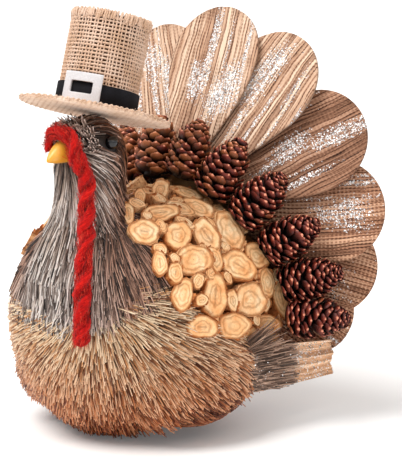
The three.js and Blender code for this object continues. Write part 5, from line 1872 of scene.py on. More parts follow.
@dataclass
class PineCones:
    """Small open cones in a ring before the fan."""

    count: int = 12
    first_turn: float = -90
    step: float = 16.3
    length: float = 51
    radius: float = 16.4
    shift: Span = (1.5, -1.5)
    scales: int = 128
    seat: float = 13.6
    sizes: Span = (0.98, 1.08)
    rng: Rng = field(default_factory=lambda: seeded(3))

    def scale_form(self) -> tuple[Array, list[Array], Array]:
        """Shapes one scale along +X, one long, with a thick round lip that curls to +Z.

        Returns:
            Points, faces and how near each point is to the lip.
        """
        along = np.array([0.0, 0.4, 0.66, 0.84, 0.95, 1.0, 1.03])
        width = np.array([0.32, 0.42, 0.54, 0.6, 0.56, 0.42, 0.16])
        rise = np.array([0.0, -0.03, -0.02, 0.03, 0.1, 0.15, 0.19])
        thick = np.array([0.05, 0.055, 0.06, 0.07, 0.08, 0.07, 0.04])
        across = np.linspace(-1, 1, 5)
        crown = 1 - 0.85 * np.abs(across) ** 1.3
        rows, columns = len(along), len(across)
        back = along[:, None] - 0.08 * across**2 * along[:, None]
        wide = across * width[:, None]
        skins = [rise[:, None] + way * thick[:, None] / 2 * crown for way in (1, -1)]
        points = np.concatenate([np.stack([back, wide, skin], axis=-1).reshape(-1, 3) for skin in skins])
        faces = grid_faces(rows, columns)
        edge = np.concatenate([
            np.arange(rows) * columns + columns - 1,
            (rows - 1) * columns + np.arange(columns - 2, -1, -1),
            np.arange(rows - 2, -1, -1) * columns,
        ])
        below = edge + rows * columns
        rim = np.stack([edge[:-1], below[:-1], below[1:], edge[1:]], axis=1)
        lip = np.tile(np.repeat(along, columns), 2) - 0.08 * np.tile(np.abs(across), 2 * rows)
        return points, [faces, faces[:, ::-1] + rows * columns, rim], lip

    def girth(self, share: Array) -> Array:
        """Gives the outer radius along the cone."""
        return self.radius * np.sin(math.pi * (0.2 + 0.76 * share) ** 0.78) ** 0.85

    def cone(self, sheaf: Sheaf, base: Array, way: Array, size: float, tone: float) -> None:
        """Adds one cone.

        Args:
            sheaf: The piece.
            base: The middle of its foot.
            way: From foot to tip.
            size: How large it is beside the usual.
            tone: How pale it is, from 0 to 1.
        """
        points, faces, lip = self.scale_form()
        helper = np.array([0.0, 0.0, 1.0]) if abs(way[2]) < 0.8 else np.array([1.0, 0.0, 0.0])
        side = unit(np.cross(way, helper))
        front = np.cross(side, way)
        start = self.rng.uniform(*ANY_ROLL)
        for k in range(self.scales):
            share = (k + 0.5) / self.scales
            turn = start + k * GOLDEN_TURN + self.rng.normal(0, 0.05)
            out = side * math.cos(turn) + front * math.sin(turn)
            opened = math.radians(78 - 36 * share + self.rng.normal(0, 5))
            girth = float(self.girth(np.array(share))) * size * self.rng.uniform(0.93, 1.05)
            reach = girth * 0.74 / max(0.5, math.sin(opened))
            x = out * math.sin(opened) + way * math.cos(opened)
            z = way * math.sin(opened) - out * math.cos(opened)
            y = np.cross(z, x)
            foot = base + way * (share**1.04 * (self.length * size - 8)) + out * girth * 0.26
            broad = (8.2 - 3.2 * share) * size * self.rng.uniform(0.9, 1.1)
            placed = foot + points[:, :1] * x * reach + points[:, 1:2] * y * broad + points[:, 2:] * z * reach
            sheaf.add(placed, faces, lip=lip, tone=float(np.clip(self.rng.normal(tone, 0.14), 0, 1)))
        spine = np.stack([base + way * t for t in np.linspace(0.5, self.length * size - 11, 7)])[None]
        tube, skin = tubes(spine, self.girth(np.linspace(0.05, 1, 7))[None] * 0.42 * size, 10)
        # The core takes the darkest colour of the scales, painted shade deep inside the cone.
        sheaf.add(tube, skin, lip=0.1, tone=0.1)

    def build(self) -> None:
        """Makes all cones, each where its solid is."""
        material = ConeFinish().material()
        slope = math.tan(math.radians(BODY.sweep))
        for i in range(self.count):
            turn = math.radians(self.first_turn + i * self.step)
            out = np.array([math.sin(turn), 0.0, math.cos(turn)])
            rim = 1 / math.hypot(math.sin(turn) / BODY.half_width, math.cos(turn) / BODY.half_height)
            axis = np.array([0, 0, BODY.axis_height])
            ends = [axis + out * (rim + self.seat + d) for d in (0.0, self.length)]
            for end in ends:
                end[1] = slope * math.hypot(end[0], end[2] - BODY.apex_height)
            way = unit(ends[1] - ends[0])
            low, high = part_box(f"pine_cone_{i + 1}")
            middle = (np.array(low) + np.array(high)) / 2 / MM - (0, SHIFT_Y, 0)
            middle = middle + way * self.shift[0] + np.array([0, self.shift[1], 0])
            size = self.rng.uniform(*self.sizes)
            sheaf = Sheaf(f"cone_{i + 1}")
            # Painted light: cones turned towards the light get a higher tone.
            tone = 0.42 + 0.42 * max(0.0, math.cos(turn + 0.2)) ** 3
            self.cone(sheaf, middle - way * self.length * size / 2, way, size, tone)
            show(sheaf.piece([material]), "cone_scale", f"pine_cone_{i + 1}")


def silver_patches(rng: Rng, across: Array, along: Array) -> Array:
    """Lays patches of silver over a sheet.

    Args:
        rng: The random source.
        across: Places across, in millimetres.
        along: Places along, in millimetres.

    Returns:
        How much silver there is, from 0 to 1.
    """
    total = np.zeros(across.shape)
    for _ in range(2):
        x, y = rng.uniform(-20, 20), rng.uniform(86, 140)
        lean = rng.normal(0.1, 0.2)
        wide, long = rng.uniform(6, 13), rng.uniform(12, 26)
        spot = ((across - x - lean * (along - y)) / wide) ** 2 + ((along - y) / long) ** 2
        total = np.maximum(total, np.exp(-(spot**1.6)) * rng.uniform(0.7, 1.0))
    return total


def scatter_flakes(sheaf: Sheaf, rng: Rng, spots: Array) -> None:
    """Adds small six-sided flakes at random tilts, in the piece's second material.

    Args:
        sheaf: The piece that carries them.
        rng: The random source.
        spots: Their places.
    """
    count, sides = len(spots), 6
    facing = unit(rng.normal(0, 0.5, (count, 3)) + (0.25, -1.0, 0.3))
    wide = unit(np.cross(facing, (0.3, 0.2, 1.0)))
    high = np.cross(wide, facing)
    turn = circle(sides)[None, :, None]
    size = rng.uniform(0.22, 0.5, count)[:, None, None]
    flat = np.cos(turn) * wide[:, None] + np.sin(turn) * high[:, None]
    points = spots[:, None] + flat * size + facing[:, None] * 0.35
    faces = np.arange(count * sides).reshape(count, sides)
    sheaf.add(points, [faces], slot=1, tone=np.repeat(rng.uniform(0, 1, count), sides))


@dataclass
class Feather:
    """Where one feather lies: its origin, its ways along, across and to the front, and its rank."""

    origin: Array
    along: Array
    across: Array
    front: Array
    rank: int

    def place(self, along: Array, across: Array, front: Values) -> Array:
        """Places points by their distances along, across and to the front."""
        flat = self.origin + self.along * along[..., None] + self.across * across[..., None]
        return flat + self.front * np.asarray(front)[..., None]


@dataclass
class TailFan:
    """Bark feathers with silver flakes."""

    reach: float = 161
    reach_fall: float = 2.2
    spacing: tuple[float, ...] = (0, 27.5, 29.5, 27, 21.5, 21)
    twist: float = 9
    lift: float = 1.7
    thickness: float = 2.2
    root: float = 36
    root_width: float = 13
    width: float = 76
    width_fall: float = 1.2
    columns: int = 121
    rows: int = 46
    round_rows: int = 16
    flakes: int = 240
    strips: int = 44
    strip_widths: tuple[float, ...] = (1.6, 2.2, 2.8, 3.6, 5.0, 7.0)
    strip_start: float = -46.0
    dusted_share: float = 0.32
    finishes: tuple[BarkFinish, ...] = (
        BarkFinish("bark_strip", "e6c9b0", "c49c80", "5a3626"),
        BarkFinish("bark_rough", "c59b80", "a2775c", "502f20", 0.3),
        BarkFinish("bark_ribbed", "d8ab8c", "b58466", "5d3c2b", 0.8),
    )

    def frames(self) -> list[Feather]:
        """Works out where each feather lies, from the middle outwards.

        Returns:
            The feathers.
        """
        swept = math.radians(BODY.sweep)
        made = []
        for rank, total in enumerate(np.cumsum(self.spacing)):
            for side in ((1,) if rank == 0 else (-1, 1)):
                turn = math.radians(total) * side
                flat = math.cos(swept)
                along = np.array([math.sin(turn) * flat, math.sin(swept), math.cos(turn) * flat])
                across = np.array([math.cos(turn), 0.0, -math.sin(turn)])
                if rank:
                    across = turn_about(across, along, -side * math.radians(self.twist))
                front = np.cross(across, along)
                origin = np.array([0.0, BODY.apex_y, BODY.apex_height]) + front * (0 if rank else self.lift)
                made.append(Feather(origin, along, across, front, rank))
        return made

    def room(self, distance: Array, rank: int, tucked: bool) -> Array:
        """Tells how wide half a feather may be beside its neighbour.

        Args:
            distance: Places along the feather.
            rank: The outer feather's rank.
            tucked: Whether this feather is the one that tucks behind.

        Returns:
            Half widths.
        """
        swept = math.radians(BODY.sweep)
        apart = math.cos(math.radians(self.spacing[rank]))
        between = math.acos(math.sin(swept) ** 2 + math.cos(swept) ** 2 * apart)
        fold = math.acos(math.cos(swept) ** 2 + math.sin(swept) ** 2 * apart)
        half = distance * math.tan(between / 2)
        twisted = half * math.sin(math.radians(self.twist))
        step = twisted + self.lift if rank == 1 else 2 * twisted
        spare = step - self.thickness - 0.8
        wide = half + spare / math.sin(fold) if tucked else np.full_like(half, 1e3)
        return np.where(spare < 0, half - 1.5, wide)

    def paddle(self, rank: int) -> Span:
        """Gives half the width of a feather's paddle and where its round tip begins."""
        half = (self.width - rank * self.width_fall) / 2
        return half, self.reach - rank * self.reach_fall - half

    def half_width(self, distance: Array, rank: int) -> Array:
        """Gives half a feather's width at places along it.

        Args:
            distance: Places along it.
            rank: The feather's rank.

        Returns:
            Half widths.
        """
        half, bend = self.paddle(rank)
        tip = half * np.sqrt(np.maximum(0, 1 - ((distance - bend) / half) ** 2))
        share = np.clip((distance - self.root) / (bend - self.root), 0, 1)
        paddle = self.root_width / 2 + (half - self.root_width / 2) * np.sin(share * math.pi / 2) ** 1.25
        wide = np.where(distance > bend, tip, paddle)
        if rank > 0:
            wide = np.minimum(wide, self.room(distance, rank, True))
        if rank < len(self.spacing) - 1:
            wide = np.minimum(wide, self.room(distance, rank + 1, False))
        return np.maximum(wide, 0.05)

    def bark(
        self, rng: Rng, index: int, x: Array, d: Array
    ) -> tuple[Array, Array, Array, Array]:
        """Lays strips of bark side by side along one feather.

        Args:
            rng: The random source.
            index: The feather's number, from 0.
            x: Places across it.
            d: Places along it.

        Returns:
            Places across as the strips run, heights, tones and how much silver there is.
        """
        count = self.strips
        edges = np.cumsum(np.concatenate([[self.strip_start], rng.choice(self.strip_widths, count)]))
        levels, tones = rng.uniform(-0.5, 0.6, count), np.clip(rng.normal(0.56, 0.17, count), 0.15, 1)
        dusted = np.where(rng.uniform(0, 1, count) < self.dusted_share, rng.uniform(0.4, 0.9, count), 0.0)
        middles, halves = rng.uniform(85, 140, count), rng.uniform(18, 52, count)
        wander = 0.8 * np.sin(d / 23 + index) + 0.3 * np.sin(d / 8.3 + 2 * index)
        place = x * (1 + 0.05 * (d - 110) / 60) + wander
        strip = np.clip(np.searchsorted(edges, place) - 1, 0, count - 1)
        near = np.minimum(np.abs(place - edges[strip]), np.abs(place - edges[strip + 1]))
        broken = np.clip(0.75 + 0.6 * np.sin(d / 9.0 + 5 * strip), 0.15, 1)
        deep = rng.choice([0.1, 0.6, 1.0, 1.0], count + 1)[strip]
        groove = np.clip(1.3 * (1 - near / 1.1), 0, 1) * deep * broken
        height = self.thickness / 2 + levels[strip] * 0.7 + 0.35 * np.clip(near / 2.0, 0, 1) - 0.7 * groove
        streak = dusted[strip] * np.clip(1.7 * (1 - np.abs(d - middles[strip]) / halves[strip]), 0, 1)
        silver = np.maximum(streak, silver_patches(rng, x, d)) * (1 - 0.6 * groove)
        return place, height, tones[strip], silver

    def feather(self, index: int, feather: Feather, materials: list[Material]) -> None:
        """Makes one feather with its flakes.

        Args:
            index: The feather's number, from 0.
            feather: Where it lies.
            materials: The bark and the flakes.
        """
        rng = seeded(40 + index)
        half, bend = self.paddle(feather.rank)
        distance = np.concatenate([
            np.linspace(self.root, bend, self.rows - self.round_rows, endpoint=False),
            bend + half * np.sin(np.linspace(0, 1.56, self.round_rows)),
        ])
        shares = np.abs(np.linspace(-1, 1, self.columns))[None]
        x = self.half_width(distance, feather.rank)[:, None] * np.linspace(-1, 1, self.columns)[None]
        d = np.broadcast_to(distance[:, None], x.shape)
        place, height, tone, silver = self.bark(rng, index, x, d)
        height = np.where(shares > 0.985, 0.2, np.maximum(height, 0.1))
        silver = np.clip(silver * (1.05 - 0.12 * feather.rank), 0, 1)
        top, low = feather.place(d, x, height), feather.place(d, x, -self.thickness / 2)
        sheaf = Sheaf(f"feather_{index + 1}")
        faces = grid_faces(*x.shape)
        sheet = np.stack([place, d, np.full_like(d, index * 7.0)], axis=-1).reshape(-1, 3)
        sheaf.add(top, [faces[:, ::-1]], sheet=sheet, tone=tone.ravel(), frost=silver.ravel())
        sheaf.add(low, [faces], sheet=sheet + (50, 0, 0), tone=0.45, frost=0.0)
        sheaf.join(rim_faces(*x.shape)[:, ::-1])
        chance = ((silver**2 + 0.004) * (shares < 0.95)).ravel()
        picked = rng.choice(len(chance), self.flakes, p=chance / chance.sum())
        shift = rng.normal(0, 0.8, (self.flakes, 2))
        spots = top.reshape(-1, 3)[picked] + shift[:, :1] * feather.along + shift[:, 1:] * feather.across
        scatter_flakes(sheaf, rng, spots)
        show(sheaf.piece(materials), "bark", f"tail_feather_{index + 1}")

    def build(self) -> None:
        """Makes the fan."""
        barks = [finish.material() for finish in self.finishes]
        silver = GlitterFinish().material()
        for index, feather in enumerate(self.frames()):
            kind = min(len(barks) - 1, max(0, feather.rank - 1))
            self.feather(index, feather, [barks[kind], silver])


@dataclass
class Wing:
    """One folded wing: a bundle of grey straws and a pleated veneer tip."""

    side: Side
    root_y: float = -106
    height: float = 47
    length: float = 98
    flare: float = 18
    depth: float = 34
    end_depth: float = 25
    stand: float = 2
    begin: float = 26
    pleats: int = 5
    pleat_depth: float = 1.5
    thickness: float = 1.6
    rows: int = 22
    columns: int = 61
    tip_flakes: int = 420
    straws: Straws = field(default_factory=lambda: Straws((1, 1), (0, 0), (0.34, 0.55), 0))
    grey_count: int = 1300
    starts: Span = (-8, 14)
    ends: Span = (27, 66)
    bulge: float = 9.0
    fan: float = 0.16
    straw_flakes: int = 150
    wisps: int = 130
    wisp_radius: float = 0.32

    def frame(self) -> tuple[Array, Array, Array]:
        """Gives where the wing starts, the way along it and the way out from the body.

        Returns:
            The start, the way along and the way out.
        """
        width, middle, half = BODY.section(np.array(self.root_y), BODY.coat)
        wall = float(width * math.sqrt(1 - ((self.height - middle) / half) ** 2))
        start = np.array([self.side * (wall + self.stand), self.root_y, self.height])
        turn = math.radians(self.flare)
        along = np.array([self.side * math.sin(turn), math.cos(turn), 0.0])
        out = np.array([self.side * math.cos(turn), -math.sin(turn), 0.0])
        return start, along, out

    def point(self, distance: Array, rise: Array, out_by: Array) -> Array:
        """Places points by distance along the wing, height and distance out from it.

        Args:
            distance: Distances along the wing.
            rise: Heights above its middle.
            out_by: Distances out from it.

        Returns:
            The points.
        """
        start, along, out = self.frame()
        flat = start + np.multiply.outer(distance, along) + np.multiply.outer(rise, np.array([0.0, 0.0, 1.0]))
        return flat + np.multiply.outer(out_by, out)

    def bundle(self, rng: Rng) -> tuple[Array, Array]:
        """Lays straws side by side in a rounded bundle.

        Args:
            rng: The random source.

        Returns:
            Paths and radii.
        """
        count = self.grey_count
        share = rng.uniform(-1, 1, count)
        level = np.sqrt(rng.uniform(0, 1, count))
        first = rng.uniform(*self.starts, count)
        last = self.ends[0] + (self.ends[1] - self.ends[0]) * rng.uniform(0, 1, count) ** 2.2
        arch = np.sqrt(np.maximum(0, 1 - share**2))
        steps = []
        for s in (0.0, 0.5, 1.0):
            rise = share * self.depth / 2 * (0.82 + self.fan * s) + rng.normal(0, 0.5, count)
            away = -4 + (self.bulge * level * arch + 3) * (0.75 + 0.35 * s) + rng.normal(0, 0.35, count)
            steps.append(self.point(first + (last - first) * s, rise, away))
        radius = rng.uniform(*self.straws.radius, count)[:, None] * np.array([[1.0, 0.95, 0.75]])
        return np.stack(steps, axis=1), radius

    def loose(self, rng: Rng) -> Array:
        """Gives the paths of the loose straws that stand up from the bundle.

        Args:
            rng: The random source.

        Returns:
            The paths.
        """
        count = self.wisps
        start = self.point(rng.uniform(6, 16, count), rng.uniform(8, 16, count), rng.uniform(1, 5, count))
        way = self.point(np.full(count, 1.0), rng.uniform(0.1, 0.75, count), rng.normal(0.05, 0.1, count))
        way = unit(way - self.frame()[0])
        length = rng.uniform(22, 40, count)[:, None]
        return np.stack([start + way * length * s for s in (0.0, 0.5, 1.0)], axis=1)

    def straw_part(self, materials: list[Material]) -> None:
        """Makes the grey bundle of straws and flakes.

        Args:
            materials: The straw and the flakes.
        """
        rng = seeded(70 + 3 * self.side)
        sheaf = Sheaf(f"wing_grey_{self.side.label}")
        paths, radius = self.bundle(rng)
        self.straws.gather(sheaf, rng, paths, radius)
        _, along, out = self.frame()
        picked = rng.integers(0, len(paths), self.straw_flakes)
        back = along * rng.uniform(0, 16, (self.straw_flakes, 1))
        scatter_flakes(sheaf, rng, paths[picked, 2] - back + out)
        self.straws.gather(sheaf, rng, self.loose(rng), self.wisp_radius)
        show(sheaf.piece(materials), "grey_straw", f"wing_straw_{self.side.label}")

    def tip(self, materials: list[Material]) -> None:
        """Makes the pleated tip of veneer and flakes.

        Args:
            materials: The veneer and the flakes.
        """
        rng = seeded(90 + self.side)
        spans = [np.linspace(0, 1, count) for count in (self.rows, self.columns)]
        share, place = np.meshgrid(*spans, indexing="ij")
        phase = place * self.pleats * FULL_TURN
        scallop = 1.6 * np.sqrt(np.abs(np.sin(phase / 2))) * np.clip((share - 0.9) / 0.1, 0, 1)
        scallop = scallop + 1.2 * np.sin(phase * 0.37 + 1) * share**6 - 1.6
        d = self.begin + (self.length - self.begin) * share + scallop
        rise = (place - 0.5) * (self.depth + (self.end_depth - self.depth) * share)
        ridge = np.abs(((place * self.pleats) % 1) * 2 - 1)
        out = self.pleat_depth * (2 * ridge - 1) + 0.25 * np.sin(phase * 3.7)
        out = out - 3.0 * np.clip(1 - 2 * share, 0, 1)
        tones = np.clip(rng.normal(0.5, 0.2, self.pleats + 1), 0, 1)
        tone = tones[np.minimum((place * self.pleats + 0.5).astype(int), self.pleats)].ravel()
        frost = 0.5 * silver_patches(rng, rise * 1.6, 78 + share * 72) + 0.46 - 0.25 * share
        frost = np.clip(frost, 0, 1)
        order = slice(None, None, -1 if self.side < 0 else 1)
        faces, rim = grid_faces(*d.shape)[:, order], rim_faces(*d.shape)[:, order]
        sheet = np.stack([rise, d, np.full_like(d, 90.0)], axis=-1).reshape(-1, 3)
        outer = self.point(d, rise, out + self.thickness)
        sheaf = Sheaf(f"wing_veneer_{self.side.label}")
        sheaf.add(outer, [faces[:, ::-1]], sheet=sheet, tone=tone, frost=np.clip(frost * 1.1, 0, 1).ravel())
        sheaf.add(self.point(d, rise, out), [faces], sheet=sheet, tone=tone, frost=0.0)
        sheaf.join(rim)
        chance = (frost**1.5 + 0.05).ravel()
        picked = rng.choice(d.size, self.tip_flakes, p=chance / chance.sum())
        spots = outer.reshape(-1, 3)[picked] + rng.normal(0, 0.6, (self.tip_flakes, 3)) * (0.2, 1, 1)
        scatter_flakes(sheaf, rng, spots)
        show(sheaf.piece(materials), "veneer", f"wing_tip_{self.side.label}")


@dataclass
class Hat:
    """The burlap hat: woven brim and crown, ribbon band and felt buckle."""

    pitch: float = 2.54
    brim_radius: float = 51.5
    brim_thickness: float = 3
    brim_fibres: int = 260
    crown_radius: float = 27
    crown_height: float = 63
    crown_fibres: int = 240
    seam: float = 0.3
    recess: float = 3.5
    band_height: float = 12.7
    band_raise: float = 1.2
    band_ribs: int = 150
    buckle_size: Span = (28, 20)
    buckle_frame: float = 6
    buckle_thickness: float = 1.9
    buckle_turn: float = 17
    thread: float = 0.72
    wave: float = 0.42
    hem_threads: int = 112
    hem_fold: tuple[Span, ...] = (
        (0.3, -5.2), (0.75, -3.8), (0.95, -2.2), (0.9, -0.8),
        (0.45, 0.3), (-0.4, 0.7), (-1.1, 0.2), (-1.5, -1.2),
    )

    @property
    def bottom(self) -> float:
        """Gives the height of the crown's lower edge."""
        return self.brim_thickness + self.seam

    def to_bird(self, points: Array) -> Array:
        """Takes points from the hat's own upright frame to the bird's.

        Args:
            points: Points in the hat's frame.

        Returns:
            The same points in the bird's frame.
        """
        origin, up, front = BODY.hat_frame()
        side = np.cross(up, front)
        return origin + points[..., :1] * side + points[..., 1:2] * -front + points[..., 2:] * up

    def lay(
        self, sheaf: Sheaf, paths: Array, radius: Values, sides: int = 4, ends: int = 2
    ) -> None:
        """Adds threads or fibres.

        Args:
            sheaf: The piece.
            paths: Their paths in the hat's own frame.
            radius: Their radii.
            sides: Their sides.
            ends: How many of their ends are closed, the tip first.
        """
        points, faces = tubes(self.to_bird(paths), radius, sides)
        sheaf.add(points, faces[:ends + 1])

    def turned(
        self, sheaf: Sheaf, radii: list[Values], levels: list[float], count: int = 72, slot: int = 1
    ) -> None:
        """Adds a turned form.

        Args:
            sheaf: The piece.
            radii: Its radii, row by row.
            levels: Its heights, row by row.
            count: Points round each row.
            slot: Its material slot.
        """
        rows = [self.to_bird(around(r, circle(count), z)) for r, z in zip(radii, levels)]
        sheaf.add(np.stack(rows), [grid_faces(len(rows), count, closed=True)], slot=slot)

    def woven_tube(self, rng: Rng) -> Sheaf:
        """Weaves the crown's wall.

        Args:
            rng: The random source.

        Returns:
            The crown's threads.
        """
        sheaf = Sheaf("hat_crown_weave")
        uprights = int(round(FULL_TURN * self.crown_radius / self.pitch / 2)) * 2
        rings = int(self.crown_height / self.pitch)
        radius = self.crown_radius - 0.5
        number = np.arange(uprights)[:, None]
        level = np.linspace(0, 1, rings * 2 + 3)
        height = self.bottom + level * (self.crown_height + 1.2)
        over = np.sin((height[None, :] - self.bottom) / self.pitch * math.pi + math.pi * (number % 2))
        sway = rng.normal(0, 0.010, (uprights, 1))
        sway = sway + 0.012 * np.sin(level[None] * 5 + rng.uniform(*ANY_PHASE, (uprights, 1)))
        fray = np.where(level > 0.985, rng.uniform(0.0, 0.8, (uprights, 1)), 0.0)
        spread = np.where(level > 0.985, rng.normal(0, 0.8, (uprights, 1)), 0.0)
        turn = circle(uprights)[:, None] + sway + spread / radius
        paths = around(radius + self.wave * over, turn, height[None] + fray)
        self.lay(sheaf, paths, rng.uniform(0.82, 1.12, (uprights, 1)) * self.thread)
        turns = np.linspace(0, FULL_TURN, uprights * 2 + 1)[None]
        number = np.arange(rings)[:, None]
        lift = self.bottom + (number + 0.5) * self.pitch + rng.normal(0, 0.12, (rings, 1))
        under = -np.cos(turns * uprights / 2 + math.pi * (number % 2))
        lift = lift + 0.1 * np.sin(turns * 3 + rng.uniform(*ANY_PHASE, (rings, 1)))
        paths = around(radius + self.wave * under, turns, lift)
        self.lay(sheaf, paths, rng.uniform(0.85, 1.15, (rings, 1)) * self.thread, ends=0)
        self.hem(sheaf, rng)
        self.fringe(sheaf, rng)
        return sheaf

    def hem(self, sheaf: Sheaf, rng: Rng) -> None:
        """Folds bunched threads over the crown's upper edge.

        Args:
            sheaf: The crown's threads.
            rng: The random source.
        """
        each = (self.hem_threads, 1)
        out, rise = np.array(self.hem_fold).T
        deep = rng.uniform(0.6, 1.2, each) * np.where(rise < 0, rise, 0.0) + np.maximum(rise, 0.0)
        lean = rng.normal(1.5, 0.9, each) * np.linspace(0, 1, len(rise)) / self.crown_radius
        number = np.arange(self.hem_threads)[:, None] + rng.normal(0, 0.3, each)
        turn = number / self.hem_threads * FULL_TURN + lean
        radius = self.crown_radius - 0.5 + out + rng.normal(0, 0.15, each)
        paths = around(radius, turn, self.bottom + self.crown_height + deep)
        self.lay(sheaf, paths, rng.uniform(0.55, 0.9, each), sides=5)

    def fringe(self, sheaf: Sheaf, rng: Rng) -> None:
        """Adds loose fibres at the crown's cut edge.

        Args:
            sheaf: The crown's threads.
            rng: The random source.
        """
        count = self.crown_fibres
        turn = rng.uniform(0, FULL_TURN, count)
        radius = self.crown_radius - 0.6 + rng.normal(0, 0.3, count)
        start = around(radius, turn, self.bottom + self.crown_height - 1.5)
        way = unit(rng.normal(0, 0.55, (count, 3)) + (0, 0, 1.0)) * rng.uniform(1.6, 3.4, count)[:, None]
        end = start + way + rng.normal(0, 0.4, (count, 3))
        self.lay(sheaf, np.stack([start, start + way * 0.5, end], axis=1), 0.17, sides=3, ends=1)

    def crown(self) -> None:
        """Makes the crown, its lining and its top."""
        rng = seeded(120)
        materials = [Weave.BURLAP.material(), Weave.LINING.material()]
        sheaf = self.woven_tube(rng)
        outer, inner = self.crown_radius - 1.3, self.crown_radius - 2
        top = self.bottom + (self.crown_height - 1.0)
        self.turned(sheaf, [outer, outer, inner, inner], [self.bottom, top, top, self.bottom])
        show(sheaf.piece(materials), "burlap", "hat_crown")
        level = self.bottom + self.crown_height - self.recess
        lid = self.woven_disc(rng, "hat_top_weave", self.crown_radius - 2.4, level, 2.0)
        show(lid.piece(materials), "burlap", "hat_top")

    def woven_disc(
        self, rng: Rng, name: str, radius: float, level: float, thickness: float, both: bool = False
    ) -> Sheaf:
        """Weaves a round of cloth on a stiff board.

        Args:
            rng: The random source.
            name: The piece's name.
            radius: Its radius.
            level: The height of its top.
            thickness: Its thickness.
            both: Whether the underside has cloth too.

        Returns:
            The threads and the board.
        """
        sheaf = Sheaf(name)
        count = int(radius / self.pitch)
        offsets = (np.arange(-count, count + 1) + rng.normal(0, 0.04, 2 * count + 1)) * self.pitch
        lane = np.arange(len(offsets))[:, None]
        low, board = level - thickness, level - 0.9
        bases = [level - 0.75, low + 0.9] if both else [level - 0.75]
        for base, flip in [(base, flip) for base in bases for flip in (False, True)]:
            half = np.sqrt(np.maximum(1.0, radius**2 - offsets**2)) + rng.uniform(-0.6, 0.7, len(offsets))
            run = np.linspace(-1, 1, count * 4 + 1)[None] * half[:, None]
            over = np.sin(run / self.pitch * math.pi + math.pi * (lane + flip))
            side = offsets[:, None] + 0.12 * np.sin(run * 0.2 + lane)
            rise = base + self.wave * over * (1 if flip else -1)
            paths = np.stack([run, side, rise] if flip else [side, run, rise], axis=-1)
            self.lay(sheaf, paths, rng.uniform(0.85, 1.15, (len(offsets), 1)) * self.thread)
        radii = [0.02, radius * 0.5, radius - 0.3, radius - 0.3, radius - 1.0, radius * 0.5, 0.02]
        self.turned(sheaf, radii, [board, board, board, low + 0.6, low, low, low])
        return sheaf

    def brim(self) -> None:
        """Makes the brim."""
        rng = seeded(121)
        thickness = self.brim_thickness
        sheaf = self.woven_disc(rng, "hat_brim_weave", self.brim_radius, thickness, thickness, both=True)
        count = self.brim_fibres
        turn = rng.uniform(0, FULL_TURN, count)
        start = around(self.brim_radius - 0.8, turn, rng.uniform(1.2, 2.8, count))
        way = unit(around(1.0, turn, 0.0) + rng.normal(0, 0.6, (count, 3)))
        way = way * rng.uniform(0.8, 2.4, count)[:, None]
        paths = np.stack([start, start + way * 0.5, start + way], axis=1)
        self.lay(sheaf, paths, 0.16, sides=3, ends=1)
        show(sheaf.piece([Weave.BURLAP.material(), Weave.UNDERSIDE.material()]), "burlap", "hat_brim")

    def band(self) -> None:
        """Makes the ribbed ribbon round the crown."""
        sheaf = Sheaf("hat_ribbon")
        count = self.band_ribs * 2
        outer = self.crown_radius + self.seam + 0.85 + np.where(np.arange(count) % 2, 0.0, 0.14)
        inner = self.crown_radius + 0.35
        levels = [0.0, 0.25, self.band_height - 0.25, self.band_height, self.band_height, 0.0]
        radii = [outer - 0.5, outer, outer, outer - 0.5, inner, inner]
        self.turned(sheaf, radii, [self.bottom + self.band_raise + z for z in levels], count, slot=0)
        show(sheaf.piece([PlainFinish.RIBBON.material()]), "ribbon", "hat_band")

    def buckle(self) -> None:
        """Makes the die-cut felt buckle, bent round the crown."""
        rng = seeded(122)
        inner = self.crown_radius + self.seam + 0.9 + 0.5
        (width, height), frame = self.buckle_size, self.buckle_frame
        x, z = np.meshgrid(np.linspace(-width / 2, width / 2, 57), np.linspace(0, height, 41))
        fuzz = rng.normal(0, 0.05, x.shape)
        hole = (np.abs(x) < width / 2 - frame) & (z > frame) & (z < height - frame)
        soft = np.clip(np.minimum.reduce([width / 2 - np.abs(x), z, height - z]) / 0.8, 0, 1)
        turn = (x + rng.normal(0, 0.03, x.shape)) / (inner + 1) + math.radians(self.buckle_turn)
        outer = inner + self.buckle_thickness - 0.35 * (1 - soft) + fuzz
        skins = [around(radius, turn, self.bottom + z).reshape(-1, 3) for radius in (outer, inner)]
        faces = grid_faces(*x.shape)
        faces = faces[hole.ravel()[faces].sum(axis=1) < 2]
        sheaf = Sheaf("felt_buckle")
        sheaf.add(self.to_bird(np.concatenate(skins)), [faces, faces[:, ::-1] + x.size])
        sides = np.concatenate([faces[:, [i, (i + 1) % 4]] for i in range(4)])
        known = {tuple(pair) for pair in sides}
        rim = np.array([pair for pair in sides if (pair[1], pair[0]) not in known])
        sheaf.join(np.stack([rim[:, 1], rim[:, 0], rim[:, 0] + x.size, rim[:, 1] + x.size], axis=1))
        show(sheaf.piece([Weave.FELT.material()]), "white_felt", "hat_buckle")

    def build(self) -> None:
        """Makes the hat."""
        self.brim()
        self.crown()
        self.band()
        self.buckle()


